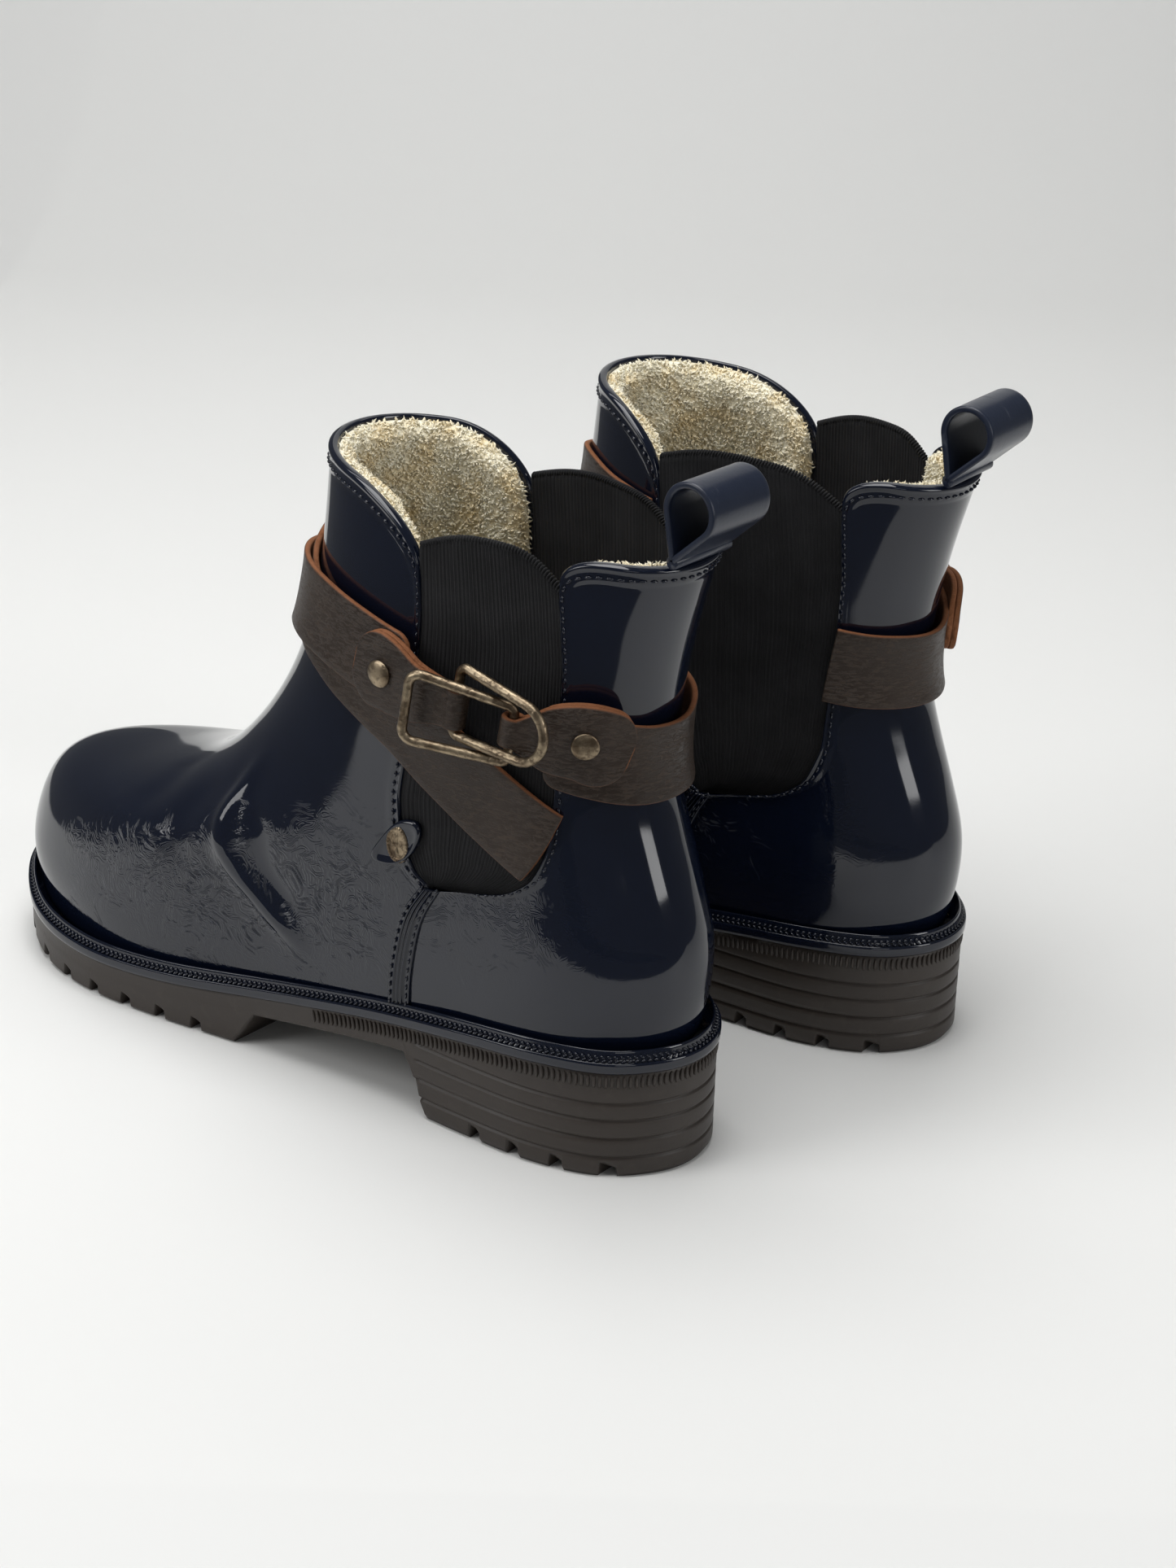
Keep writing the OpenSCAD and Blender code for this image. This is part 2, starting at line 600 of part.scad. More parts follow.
// Stations of a tab: place, outward direction and width, from its free end to its loop
function tab_stations(spots, root, lift, widths) =
    concat([for (i = [0:len(spots) - 1])
            [off_skin(spots[i][0], spots[i][1], lift), outward(spots[i][0], spots[i][1]),
             widths[i]]],
        [[root, buckle_out, widths[len(spots)]]]);

module tab_band(stations, narrow) {
    steps = 6;
    n = steps * (len(stations) - 1);
    grid = function (side) [for (j = [0:n])
        let (u = j / steps,
             c = along([for (s = stations) s[0]], u),
             ahead = along([for (s = stations) s[0]], u + 0.05),
             behind = along([for (s = stations) s[0]], u - 0.05),
             out = unit(along([for (s = stations) s[1]], u)),
             across = unit(cross(ahead - behind, out)),
             end = min(1, j / 6), w = along([for (s = stations) s[2]], u)
                 * sqrt(max(0.12, 1 - pow(1 - end, 2))))
        for (k = [-1, 0, 1]) c + across * k * w / 2 + out * side * tab_thickness / 2];
    sheet(grid(-1), grid(1), 2, n);
}

module wire_loop(u, low, high) {
    at_buckle() translate([u, low, 0]) rotate([-90, 0, 0]) difference() {
        cylinder(h = high - low, r = loop_outer, $fn = 32);
        translate([0, 0, -1]) cylinder(h = high - low + 2, r = wire / 2 + wire_play, $fn = 32);
    }
}

rivet_front_at = [95, 0.79];
rivet_back_at = [32.5, 0.74];

// A cylinder standing on the surface at a rivet
module on_rivet(place, height) {
    n = outward(place[0], place[1]);
    translate(off_skin(place[0], place[1], height))
        rotate([0, acos(n[2]), atan2(n[1], n[0])]) children();
}

module rivet_hole(place, d = rivet_post + 2 * hole_play) {
    on_rivet(place, -1) cylinder(h = 14, d = d, $fn = 24);
}

tab_front_loop = [-6, 5.8];                    // the loop's two edges, across the buckle
tab_back_loop = [-4.8, 3.9];

module tab_front() {
    mid = (tab_front_loop[0] + tab_front_loop[1]) / 2;
    loop_w = tab_front_loop[1] - tab_front_loop[0];
    root = buckle_point(-link_overlap / 2 - loop_outer + 0.9, mid, 0);
    color(leather_brown) {
        difference() {
            tab_band(tab_stations([[104, 0.80], [95, 0.79], [86, 0.775]], root,
                tab_lift + leather, [tab_width, tab_width, tab_width - 5, loop_w]), loop_w);
            rivet_hole(rivet_front_at);
            at_buckle() translate([-link_overlap / 2, -20, 0]) rotate([-90, 0, 0])
                cylinder(h = 40, r = wire / 2 + wire_play, $fn = 32);
        }
        wire_loop(-link_overlap / 2, tab_front_loop[0], tab_front_loop[1]);
    }
}

module tab_back() {
    mid = (tab_back_loop[0] + tab_back_loop[1]) / 2;
    loop_w = tab_back_loop[1] - tab_back_loop[0];
    root = buckle_point(link_overlap / 2 + loop_outer - 0.9, mid, 0);
    color(leather_brown) {
        difference() {
            tab_band(tab_stations([[19, 0.71], [32.5, 0.74], [44, 0.74]], root,
                back_lift + leather, [tab_width, tab_width, tab_width - 5, loop_w]), loop_w);
            rivet_hole(rivet_back_at);
            at_buckle() translate([link_overlap / 2, -20, 0]) rotate([-90, 0, 0])
                cylinder(h = 40, r = wire / 2 + wire_play, $fn = 32);
        }
        wire_loop(link_overlap / 2, tab_back_loop[0], tab_back_loop[1]);
    }
}

module strap_front() {
    color(leather_brown) difference() {
        strap(STRAP_FRONT);
        rivet_hole(rivet_front_at);
    }
}

// The front rivet's washer lies in a round opening of this strap, which the strap above it hides
module strap_cross() {
    color(leather_brown) difference() {
        strap(STRAP_CROSS);
        rivet_hole(rivet_front_at, rivet_head - 1 + 4 * hole_play);
    }
}

module strap_back() {
    color(leather_brown) difference() {
        strap(STRAP_BACK);
        rivet_hole(rivet_back_at);
    }
}

// ---- rivets ---------------------------------------------------------------------------------

head_height = 1.4;
washer_thickness = 0.8;

module rivet(place, lift) {
    bottom = washer_thickness + 0.2;
    top = lift + tab_thickness + 0.2;
    color(brass) {
        on_rivet(place, bottom) cylinder(h = top - bottom + 0.1, d = rivet_post, $fn = 24);
        on_rivet(place, top) intersection() {
            cylinder(h = head_height, d = rivet_head, $fn = 48);
            translate([0, 0, head_height - rivet_head * 1.2]) sphere(r = rivet_head * 1.2, $fn = 64);
        }
    }
}

module washer(place) {
    color(brass) on_rivet(place, 0.2) difference() {
        cylinder(h = washer_thickness, d = rivet_head - 1, $fn = 32);
        translate([0, 0, -1]) cylinder(h = 4, d = rivet_post + 2 * hole_play, $fn = 24);
    }
}

module rivet_front() { rivet(rivet_front_at, tab_lift); }
module rivet_back() { rivet(rivet_back_at, back_lift); }
module washer_front() { washer(rivet_front_at); }
module washer_back() { washer(rivet_back_at); }

// ---- emblem ---------------------------------------------------------------------------------

emblem_at = [79, 0.46];
emblem_size = [8, 12];

module emblem_tab() {
    n = 6;
    half_a = 7.5 / norm(slope_round(emblem_at[0], emblem_at[1]));
    half_v = 9.7 / norm(slope_up(emblem_at[0], emblem_at[1]));
    function row(d) = [for (j = [0:n]) let (k = -1 + 2 * j / n, w = sqrt(1.05 - k * k * 0.9))
        for (i = [-1, 0, 1])
            off_skin(emblem_at[0] + i * half_a * w, emblem_at[1] + k * half_v, d)];
    color(navy) sheet(row(fit_gap + 1.2), row(fit_gap), 2, n);
}

module emblem() {
    color(brass) on_rivet(emblem_at, 2 * fit_gap + 1.2) rotate([0, 0, 90])
        linear_extrude(1.2) polygon([for (i = [0:31])
            [emblem_size[0] / 2 * cos(i * 11.25), emblem_size[1] / 2 * sin(i * 11.25)]]);
}

// ---- the pair -------------------------------------------------------------------------------

// The pair's middle, half way between its outermost edges
pair_middle = [(sole_length - pair_stagger - 4.3) / 2, -(pair_gap - 6) / 2];

module stand(side) {
    translate([-pair_middle[0], -pair_middle[1], 0])
        if (side == "left") children();
        else translate([-pair_stagger, -pair_gap, 0]) rotate([0, 0, pair_turn])
            mirror([0, 1, 0]) children();
}

for (side = SIDES) {
    stand(side) outsole();
    stand(side) welt();
    stand(side) insole_board();
    stand(side) footbed();
    stand(side) front_upper();
    stand(side) back_upper();
    stand(side) gore_outer();
    stand(side) gore_inner();
    stand(side) side_seam_outer();
    stand(side) side_seam_inner();
    stand(side) lining_front();
    stand(side) lining_back();
    stand(side) pull_loop();
    stand(side) strap_front();
    stand(side) strap_cross();
    stand(side) strap_back();
    stand(side) tab_front();
    stand(side) tab_back();
    stand(side) link_front();
    stand(side) link_back();
    stand(side) rivet_front();
    stand(side) rivet_back();
    stand(side) washer_front();
    stand(side) washer_back();
    stand(side) emblem_tab();
    stand(side) emblem();
}
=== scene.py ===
# %% [markdown]
# # A pair of lined deck boots
# The boots are glossy moulded shells on lugged rubber soles, with elastic side panels, a fleece
# lining, leather straps and a buckle of two wire links. The engineering model gives every piece
# its place. Here each piece that people see gets its fine shape and its finish.

# %% Load the frame
import json
import math

import bmesh
import bpy
import numpy as np
from mathutils import Matrix, Vector

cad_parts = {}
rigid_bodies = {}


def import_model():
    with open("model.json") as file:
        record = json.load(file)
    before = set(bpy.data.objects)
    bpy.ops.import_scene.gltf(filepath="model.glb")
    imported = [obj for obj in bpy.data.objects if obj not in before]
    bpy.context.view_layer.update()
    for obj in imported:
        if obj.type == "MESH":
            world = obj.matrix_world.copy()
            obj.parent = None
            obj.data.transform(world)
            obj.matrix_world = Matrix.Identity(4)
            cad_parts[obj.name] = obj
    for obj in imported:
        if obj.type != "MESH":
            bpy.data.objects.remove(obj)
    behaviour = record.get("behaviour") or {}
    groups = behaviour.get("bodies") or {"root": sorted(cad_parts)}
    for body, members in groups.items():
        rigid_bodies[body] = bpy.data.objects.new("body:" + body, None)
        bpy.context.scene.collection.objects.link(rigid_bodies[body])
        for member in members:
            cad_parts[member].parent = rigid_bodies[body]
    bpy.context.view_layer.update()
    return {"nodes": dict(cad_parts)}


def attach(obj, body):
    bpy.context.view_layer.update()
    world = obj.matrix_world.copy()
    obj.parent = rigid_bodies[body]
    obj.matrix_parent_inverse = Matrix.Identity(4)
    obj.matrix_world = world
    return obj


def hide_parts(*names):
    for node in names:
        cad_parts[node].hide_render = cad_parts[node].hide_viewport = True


for leftover in list(bpy.data.objects):
    bpy.data.objects.remove(leftover)
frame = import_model()

# %% [markdown]
# ## The set
# Small products stand on a white sweep: a floor that curves up into the wall, so there is no
# corner behind the object. One profile line, repeated along the wall, makes it. Its curve is a
# quarter circle, because a sharp corner would show as a dark line. Gloss mirrors whatever stands
# round it, and a whole white floor would turn the dark shell grey. So the floor that is seen
# doesn't reflect, and a shorter sweep and one strip of table are there for reflections only.

# %% Floor and wall in one sweep
MM = 0.001
VIEW_AZIMUTH, VIEW_ELEVATION = math.radians(-141.07), math.radians(23.62)
WALL_START, WALL_BEND, WALL_TOP = -0.9, 0.7, 2.6     # metres: where it bends up, how wide, how high
to_camera = Vector((math.sin(VIEW_AZIMUTH) * math.cos(VIEW_ELEVATION),
                    -math.cos(VIEW_AZIMUTH) * math.cos(VIEW_ELEVATION), math.sin(VIEW_ELEVATION)))
floor_dir = Vector((to_camera.x, to_camera.y, 0)).normalized()
floor_side = Vector((-floor_dir.y, floor_dir.x, 0))


def plain(name, colour, roughness):
    material = bpy.data.materials.new(name)
    material.use_nodes = True
    shader = material.node_tree.nodes["Principled BSDF"]
    shader.inputs["Base Color"].default_value = (*colour, 1)
    shader.inputs["Roughness"].default_value = roughness
    return material


def shade_smooth(mesh):
    mesh.polygons.foreach_set("use_smooth", [True] * len(mesh.polygons))


def put(name, data):
    """A new object in the scene, at the origin."""
    obj = bpy.data.objects.new(name, data)
    bpy.context.scene.collection.objects.link(obj)
    return obj


def paper(name, corners, faces):
    """A sheet of white paper for the set, which isn't part of the object."""
    mesh = bpy.data.meshes.new(name)
    mesh.from_pydata(corners, [], faces)
    shade_smooth(mesh)
    mesh.materials.append(white_paper)
    obj = put(name, mesh)
    obj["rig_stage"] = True
    return obj


def floor_point(d, w, z=0):
    """A point d towards the camera, w to the side and z up, in metres."""
    return tuple(floor_dir * d + floor_side * w + Vector((0, 0, z)))


def sweep_object(name, reach, sides, lift):
    """A strip from the camera's side to the top of the wall; lift moves it up and forwards."""
    profile = [(reach, 0), (0, 0), (WALL_START, 0)]
    profile += [(WALL_START - WALL_BEND * math.sin(a), WALL_BEND - WALL_BEND * math.cos(a))
                for a in np.linspace(0.05, math.pi / 2, 24)]
    profile += [(WALL_START - WALL_BEND, WALL_TOP)]
    corners = [floor_point(d + lift, w, z + lift) for d, z in profile for w in sides]
    return paper(name, corners, [(2 * i, 2 * i + 1, 2 * i + 3, 2 * i + 2)
                                 for i in range(len(profile) - 1)])


def only_reflected(obj):
    obj.visible_camera = obj.visible_diffuse = obj.visible_shadow = False


white_paper = plain("white_paper", (0.80, 0.80, 0.785), 0.6)
sweep = sweep_object("sweep", 2.2, (-3, 3), 0)
sweep.visible_glossy = False
only_reflected(sweep_object("near_sweep", 0.28, (-0.33, 0.9), 0.0001))
table_corners = ((0.50, -0.35), (0.50, 0.5), (0.85, 0.5), (0.85, -0.35))
only_reflected(paper("second_table", [floor_point(d, w) for d, w in table_corners], [(0, 1, 2, 3)]))
print("sweep of", len(sweep.data.polygons), "strips")

# %% [markdown]
# ## The camera
# The camera looks down a little on the heels, from behind the left boot's outer side. It is
# placed by its direction from a point between the boots, then rolled by less than two degrees.

# %% Camera
AIM_AT = Vector((-0.03874, -0.00268, 0.07523))
ROLL, DISTANCE, LENS, SENSOR = math.radians(1.76), 0.9149, 67.33, 36
right = Vector((0, 0, 1)).cross(to_camera).normalized()
up = to_camera.cross(right)
right, up = (math.cos(ROLL) * right + math.sin(ROLL) * up,
             math.cos(ROLL) * up - math.sin(ROLL) * right)
camera = put("camera", bpy.data.cameras.new("camera"))
camera.data.lens = LENS
camera.data.sensor_width = SENSOR
eye = AIM_AT + to_camera * DISTANCE
camera.matrix_world = Matrix((
    (right.x, up.x, to_camera.x, eye.x), (right.y, up.y, to_camera.y, eye.y),
    (right.z, up.z, to_camera.z, eye.z), (0, 0, 0, 1)))
bpy.context.scene.camera = camera
print("camera at", [round(x, 3) for x in eye])

# %% [markdown]
# ## The light
# Gloss shows the room more than its own colour. So the lights are plain panels whose edges make
# the long bright shapes on the shell: a big one overhead, a tall one on the toes' side and a tall
# one behind the heels. A small weak one beside the camera lifts the near side, and the last one
# lights only the wall. A dim grey world keeps the shadows soft.

# %% Soft boxes and world
def soft_box(name, at, aim, size, power):
    light = bpy.data.lights.new(name, "AREA")
    light.shape = "RECTANGLE"
    light.size, light.size_y = size
    light.energy = power
    at, aim = Vector(at), Vector(aim)
    turn = (at - aim).to_track_quat("Z", "Y").to_matrix().to_4x4()
    put(name, light).matrix_world = Matrix.Translation(at) @ turn


soft_box("overhead_box", (0.1, 0.1, 1.25), (0, 0, 0.05), (1.0, 0.8), 13)
soft_box("toe_side_box", (0.55, 1.05, 0.75), (0, 0, 0.08), (0.55, 0.9), 6)
soft_box("heel_side_box", (-1.25, -0.15, 0.6), (-0.05, 0, 0.1), (0.35, 0.8), 4)
soft_box("room_box", (-1.3, 1.0, 0.45), (-0.05, 0, 0.1), (0.5, 0.35), 0.8)
soft_box("wall_box", floor_point(-1.0, 0, 1.5), floor_point(-1.5, 0, 0.3), (1.6, 0.4), 5)
world = bpy.data.worlds.new("grey_room")
world.use_nodes = True
world.node_tree.nodes["Background"].inputs["Color"].default_value = (0.86, 0.88, 0.9, 1)
world.node_tree.nodes["Background"].inputs["Strength"].default_value = 0.14
bpy.context.scene.world = world
bpy.context.scene.view_settings.view_transform = "Standard"

# %% [markdown]
# ## Shader maths in plain Python
# A finish is a web of nodes, and long webs are hard to read. This small class wraps one socket,
# so that `0.3 + 0.1 * grain` adds the two Math nodes it needs. Every other node comes from one
# method that takes the node's type, its settings and the values or links of its sockets.

# %% Sockets that add up
class Sock:
    def __init__(self, tree, out):
        self.tree, self.out = tree, out

    def maths(self, operation, *values):
        node = self.tree.nodes.new("ShaderNodeMath")
        node.operation = operation
        for socket, value in zip(node.inputs, values):
            join(self.tree, socket, value)
        return Sock(self.tree, node.outputs[0])

    def __add__(self, other): return self.maths("ADD", self, other)
    def __radd__(self, other): return self.maths("ADD", other, self)
    def __sub__(self, other): return self.maths("SUBTRACT", self, other)
    def __rsub__(self, other): return self.maths("SUBTRACT", other, self)
    def __mul__(self, other): return self.maths("MULTIPLY", self, other)
    def __rmul__(self, other): return self.maths("MULTIPLY", other, self)


def join(tree, socket, value):
    if isinstance(value, Sock):
        tree.links.new(value.out, socket)
    elif value is not None:
        socket.default_value = value


class Finish:
    """A material with one Principled shader, and the one method that adds any other node."""

    def __init__(self, name, **fixed):
        self.material = bpy.data.materials.new(name)
        self.material.use_nodes = True
        self.tree = self.material.node_tree
        self.shader = self.tree.nodes["Principled BSDF"]
        for key, value in fixed.items():
            self.shader.inputs[key.replace("_", " ")].default_value = value

    def node(self, kind, settings=None, sockets=None, out=0):
        node = self.tree.nodes.new(kind)
        for key, value in (settings or {}).items():
            if key == "stops":
                ramp = node.color_ramp
                while len(ramp.elements) < len(value):
                    ramp.elements.new(0.5)
                for element, (at, shade) in zip(ramp.elements, value):
                    element.position = at
                    element.color = (shade,) * 3 + (1,) if np.isscalar(shade) else (*shade, 1)
            else:
                setattr(node, key, value)
        for key, value in (sockets or {}).items():
            join(self.tree, node.inputs[key], value)
        return Sock(self.tree, node.outputs[out])

    def other_output(self, sock, out):
        """Another output of the node that a socket comes from."""
        return Sock(self.tree, sock.out.node.outputs[out])

    def where(self):
        """Where a point is, in metres in the pair's frame."""
        return self.node("ShaderNodeTexCoord", out=3)

    def stretched(self, vector, sx, sy, sz):
        return self.node("ShaderNodeMapping", {}, {"Vector": vector, "Scale": (sx, sy, sz)})

    def own(self, name, out=2):
        """One of the mesh's own values: out 2 is a number and out 1 a vector."""
        return self.node("ShaderNodeAttribute", {"attribute_name": name}, out=out)

    def noise(self, vector, scale, detail=3, rough=0.5, warp=0.0):
        return self.node("ShaderNodeTexNoise", {}, {"Vector": vector, "Scale": scale,
                         "Detail": detail, "Roughness": rough, "Distortion": warp})

    def cells(self, vector, scale, feature="F1"):
        return self.node("ShaderNodeTexVoronoi", {"feature": feature},
                         {"Vector": vector, "Scale": scale})

    def ramp(self, value, *stops):
        return self.node("ShaderNodeValToRGB", {"stops": stops}, {"Fac": value})

    def blend(self, a, b, factor):
        """Colour a where factor is 0 and colour b where it is 1."""
        node = self.tree.nodes.new("ShaderNodeMix")
        node.data_type = "RGBA"
        colours = [s for s in node.inputs if s.type == "RGBA"]
        join(self.tree, node.inputs[0], factor)
        for socket, value in zip(colours, (a, b)):
            join(self.tree, socket, (*value, 1) if isinstance(value, tuple) else value)
        return Sock(self.tree, [s for s in node.outputs if s.type == "RGBA"][0])

    def bump(self, height, distance, strength=1.0, over=None):
        return self.node("ShaderNodeBump", {}, {"Height": height, "Distance": distance,
                         "Strength": strength, "Normal": over})

    def set(self, **links):
        for key, value in links.items():
            join(self.tree, self.shader.inputs[key.replace("_", " ")], value)
        return self.material


print("shader helpers ready")

# %% [markdown]
# ## Gloss shell
# The uppers are moulded in dark blue plastic and lacquered. What sells gloss is not the colour
# but small faults in the reflections: a slow wave from the mould, and fine flow lines like
# fingerprints on the sides of the foot. Both are bumps, since neither changes the outline.

# %% Navy gloss
gloss = Finish("navy_gloss", Coat_Weight=0.1, Coat_Roughness=0.03, Specular_IOR_Level=0.5)
at = gloss.where()
slow = gloss.noise(at, 14, 2)
patch = gloss.ramp(gloss.noise(at, 13, 2), (0.40, 0), (0.52, 1))
sides = gloss.own("flow")
warped = gloss.noise(at, 95, 1, 0.4, 2.4)
lines = gloss.node("ShaderNodeMath", {"operation": "SINE"}, {0: warped * 85})
wave = gloss.bump(slow, 0.0022, 0.5)
flow = gloss.bump(lines * sides * patch, 0.000055, 0.9, wave)
smear = gloss.noise(at, 55, 3, 0.6)
navy_gloss = gloss.set(
    Base_Color=gloss.blend((0.0028, 0.0045, 0.0115), (0.0045, 0.0072, 0.0170), smear),
    Roughness=0.04 + 0.05 * smear + 0.10 * sides * patch, Normal=flow)

# %% [markdown]
# ## Satin band
# The pull loop is the same plastic without the lacquer, and it gets handled. Long thin scuffs
# run across it: noise squeezed in one direction, kept only where it is strongest.

# %% Navy satin
satin = Finish("navy_satin", Specular_IOR_Level=0.5)
at = satin.where()
grain = satin.noise(at, 900, 2)
scuff = satin.ramp(satin.noise(satin.stretched(at, 25, 420, 60), 1, 4, 0.7), (0.62, 0), (0.72, 1))
cloud = satin.noise(at, 60, 3)
navy_satin = satin.set(
    Base_Color=satin.blend(satin.blend((0.008, 0.012, 0.026), (0.016, 0.022, 0.040), cloud),
                           (0.10, 0.11, 0.13), scuff * 0.5),
    Roughness=0.24 + 0.12 * cloud + 0.25 * scuff, Normal=satin.bump(grain, 0.00006, 0.5))

# %% [markdown]
# ## Sole rubber
# Brown rubber, matt, a little dusty where it has been handled. The fine grain comes from the
# mould's etched faces. A broad cloud in the roughness keeps flat walls from looking painted.

# %% Brown rubber
rubber = Finish("brown_rubber", Specular_IOR_Level=0.45)
at = rubber.where()
grain = rubber.noise(at, 1500, 2)
cloud = rubber.noise(at, 45, 4, 0.6)
dust = rubber.ramp(rubber.noise(at, 210, 4, 0.7), (0.55, 0), (0.8, 1))
brown_rubber = rubber.set(
    Base_Color=rubber.blend(rubber.blend((0.022, 0.0165, 0.0135), (0.036, 0.027, 0.021), cloud),
                            (0.09, 0.075, 0.062), dust * 0.25),
    Roughness=0.36 + 0.18 * cloud + 0.1 * dust, Normal=rubber.bump(grain, 0.00008, 0.5))

# %% [markdown]
# ## Elastic webbing
# Black yarn over rubber threads. The ribs are real geometry, and this finish adds the weft that
# crosses them: a fine wave along the panel's own height, which the mesh carries as an attribute.

# %% Black elastic
elastic = Finish("black_elastic", Specular_IOR_Level=0.18, Sheen_Weight=0.04, Sheen_Roughness=0.5)
at = elastic.where()
across = elastic.node("ShaderNodeSeparateXYZ", {}, {0: elastic.own("spread", 1)})
upward = elastic.other_output(across, 1)
YARNS = 9000     # radians of wave in a metre: a yarn every 0.7 mm
weft = elastic.node("ShaderNodeMath", {"operation": "SINE"}, {0: upward * YARNS})
warp = elastic.node("ShaderNodeMath", {"operation": "SINE"}, {0: across * YARNS + 2.0 * weft})
fuzz = elastic.noise(at, 2600, 3, 0.7)
worn = elastic.noise(at, 70, 3)
black_elastic = elastic.set(
    Base_Color=elastic.blend((0.004, 0.004, 0.0045), (0.045, 0.045, 0.048), fuzz * worn),
    Roughness=0.72 + 0.2 * fuzz,
    Normal=elastic.bump(weft * warp * 0.5 + fuzz, 0.00016, 0.8))
print("first finishes ready")

# %% [markdown]
# ## Fleece
# Cream pile with tan shade painted between the locks, and a few dark fibres. It scatters light, so
# it is fully rough, with a little sheen where strands catch the light edge on.

# %% Cream fleece
fleece = Finish("cream_fleece", Roughness=0.95, Specular_IOR_Level=0.05, Sheen_Weight=0.15,
                Sheen_Roughness=0.6)
at = fleece.where()
locks = fleece.noise(at, 110, 4, 0.65)
fibres = fleece.noise(at, 900, 2, 0.7)
stray = fleece.ramp(fleece.noise(fleece.stretched(at, 900, 350, 350), 1, 2), (0.70, 0), (0.74, 1))
# painted shade: the colour turns tan where the lock noise is low, in the hollows between the locks
cream_fleece = fleece.set(
    Base_Color=fleece.blend(fleece.blend((0.88, 0.74, 0.47), (0.99, 0.93, 0.75),
                                         fleece.ramp(locks, (0.32, 0), (0.56, 1))),
                            (0.34, 0.23, 0.12), stray * 0.35),
    Normal=fleece.bump(locks + 0.5 * fibres, 0.0012, 0.7))

# %% [markdown]
# ## Strap leather
# Brown pull-up leather: waxed on top, with fine creases across the strap, and raw orange-brown
# suede where it was cut. The straps carry a `raw` value that is 1 on cut edges and backs.

# %% Brown leather
leather = Finish("brown_leather", Specular_IOR_Level=0.36)
at = leather.where()
raw = leather.own("raw")
grain = leather.cells(at, 1100, "DISTANCE_TO_EDGE")
crease = leather.ramp(leather.noise(leather.stretched(at, 330, 330, 1300), 1, 5, 0.7, 0.6),
                      (0.42, 1), (0.50, 0))
pull = leather.noise(at, 38, 4, 0.6)
nap = leather.noise(at, 2400, 3, 0.7)
top = leather.blend(leather.blend((0.013, 0.0078, 0.0050), (0.038, 0.0235, 0.0150), pull),
                    (0.085, 0.056, 0.038), crease * 0.35)
suede = leather.blend((0.13, 0.045, 0.018), (0.36, 0.14, 0.055), nap)
brown_leather = leather.set(
    Base_Color=leather.blend(top, suede, raw),
    Roughness=0.30 + 0.14 * pull + 0.45 * raw + 0.12 * crease,
    Normal=leather.bump(0.5 * grain + 0.9 * crease + nap * raw, 0.00026, 0.6))

# %% [markdown]
# ## Antique brass
# Cast links, tumbled and browned. Metal is fully metallic, so its colour lives in Base Color:
# bright where it was rubbed, brown in the pits. Cells make the hammered facets.

# %% Antique brass
brass = Finish("antique_brass", Metallic=1.0)
at = brass.where()
dent = brass.cells(at, 430)
tarnish = brass.noise(at, 190, 3, 0.55)
pits = brass.ramp(brass.noise(at, 620, 3, 0.6), (0.34, 1), (0.48, 0))
antique_brass = brass.set(
    Base_Color=brass.blend(brass.blend((0.15, 0.110, 0.072), (0.37, 0.295, 0.200),
                                       brass.ramp(tarnish, (0.38, 0), (0.62, 1))),
                           (0.075, 0.052, 0.036), pits * 0.6),
    Roughness=0.28 + 0.2 * tarnish + 0.2 * pits,
    Normal=brass.bump(dent - 0.3 * pits, 0.00026, 0.6))

# %% [markdown]
# ## Insole board
# Fibre board lies under the footbed where nobody looks, but it still gets its speckle.

# %% Fibre board
board = Finish("fibre_board", Specular_IOR_Level=0.2)
at = board.where()
speckle = board.noise(board.stretched(at, 1200, 500, 500), 1, 3)
fibre_board = board.set(Base_Color=board.blend((0.24, 0.17, 0.10), (0.42, 0.33, 0.22), speckle),
                        Roughness=0.75 + 0.15 * speckle, Normal=board.bump(speckle, 0.0002, 0.5))
print(len(bpy.data.materials), "materials")

# %% [markdown]
# ## The last
# A shoemaker starts from a last, and so does this model: one smooth surface that all the
# upper's pieces follow. It has an angle round the boot (0 at the back, 90 on the outer side, 180
# at the front) and a level (0 at the sole, 1 at the top line). Nine rings give its shape, in
# millimetres: where each ring starts and ends, how high, and how wide at five places a side.

# %% Rings of the last, in millimetres
SOLE_LENGTH, HEEL_SEAT, FOREFOOT, HEEL_LENGTH, LUG_PITCH = 275, 34, 12.5, 78, 14
SHELL, LINING, LEATHER, WIRE = 2.2, 6, 1.8, 3.0
TOE_RISE = 9.5
LAST = np.array([
    [6, 3, 270, 3, 25.5, 32, 35.5, 43.5, 29, 25.5, 31, 34, 40.5, 31],
    [3, 17, 272, 19, 26, 33, 36.5, 44.5, 30, 26, 32, 35, 41.5, 32],
    [3, 32, 259, 44, 25.5, 32.5, 36.5, 43.5, 27, 25.5, 31.5, 35.5, 40.5, 28.5],
    [8, 48, 220, 56, 23.5, 31, 36, 38.5, 24, 23.5, 30.5, 35.5, 37, 25],
    [14, 64, 187, 68, 22, 30, 35, 34.5, 22, 22, 30, 35, 34.5, 22.5],
    [19, 81, 163, 89, 20.5, 29, 34, 32.5, 20.5, 20.5, 29, 34, 32.5, 20.5],
    [19, 101, 147, 114, 20, 29, 34, 32, 20, 20, 29, 34, 32, 20],
    [15, 123, 139, 144, 20, 29, 34, 32, 20, 20, 29, 34, 32, 20],
    [9, 145, 135, 176.5, 20, 28.5, 33.5, 32, 20.5, 20, 28.5, 33.5, 32, 20.5]])
# how far each ring follows the sole's curve between its ends
FOLLOW = np.array([1, 0.9, 0.55, 0.2, 0, 0, 0, 0, 0], float)


def smooth4(p0, p1, p2, p3, t):
    """A smooth curve through four neighbours, between the middle two."""
    return p1 + 0.5 * t * (p2 - p0 + t * (2 * p0 - 5 * p1 + 4 * p2 - p3
                                          + t * (3 * (p1 - p2) + p3 - p0)))


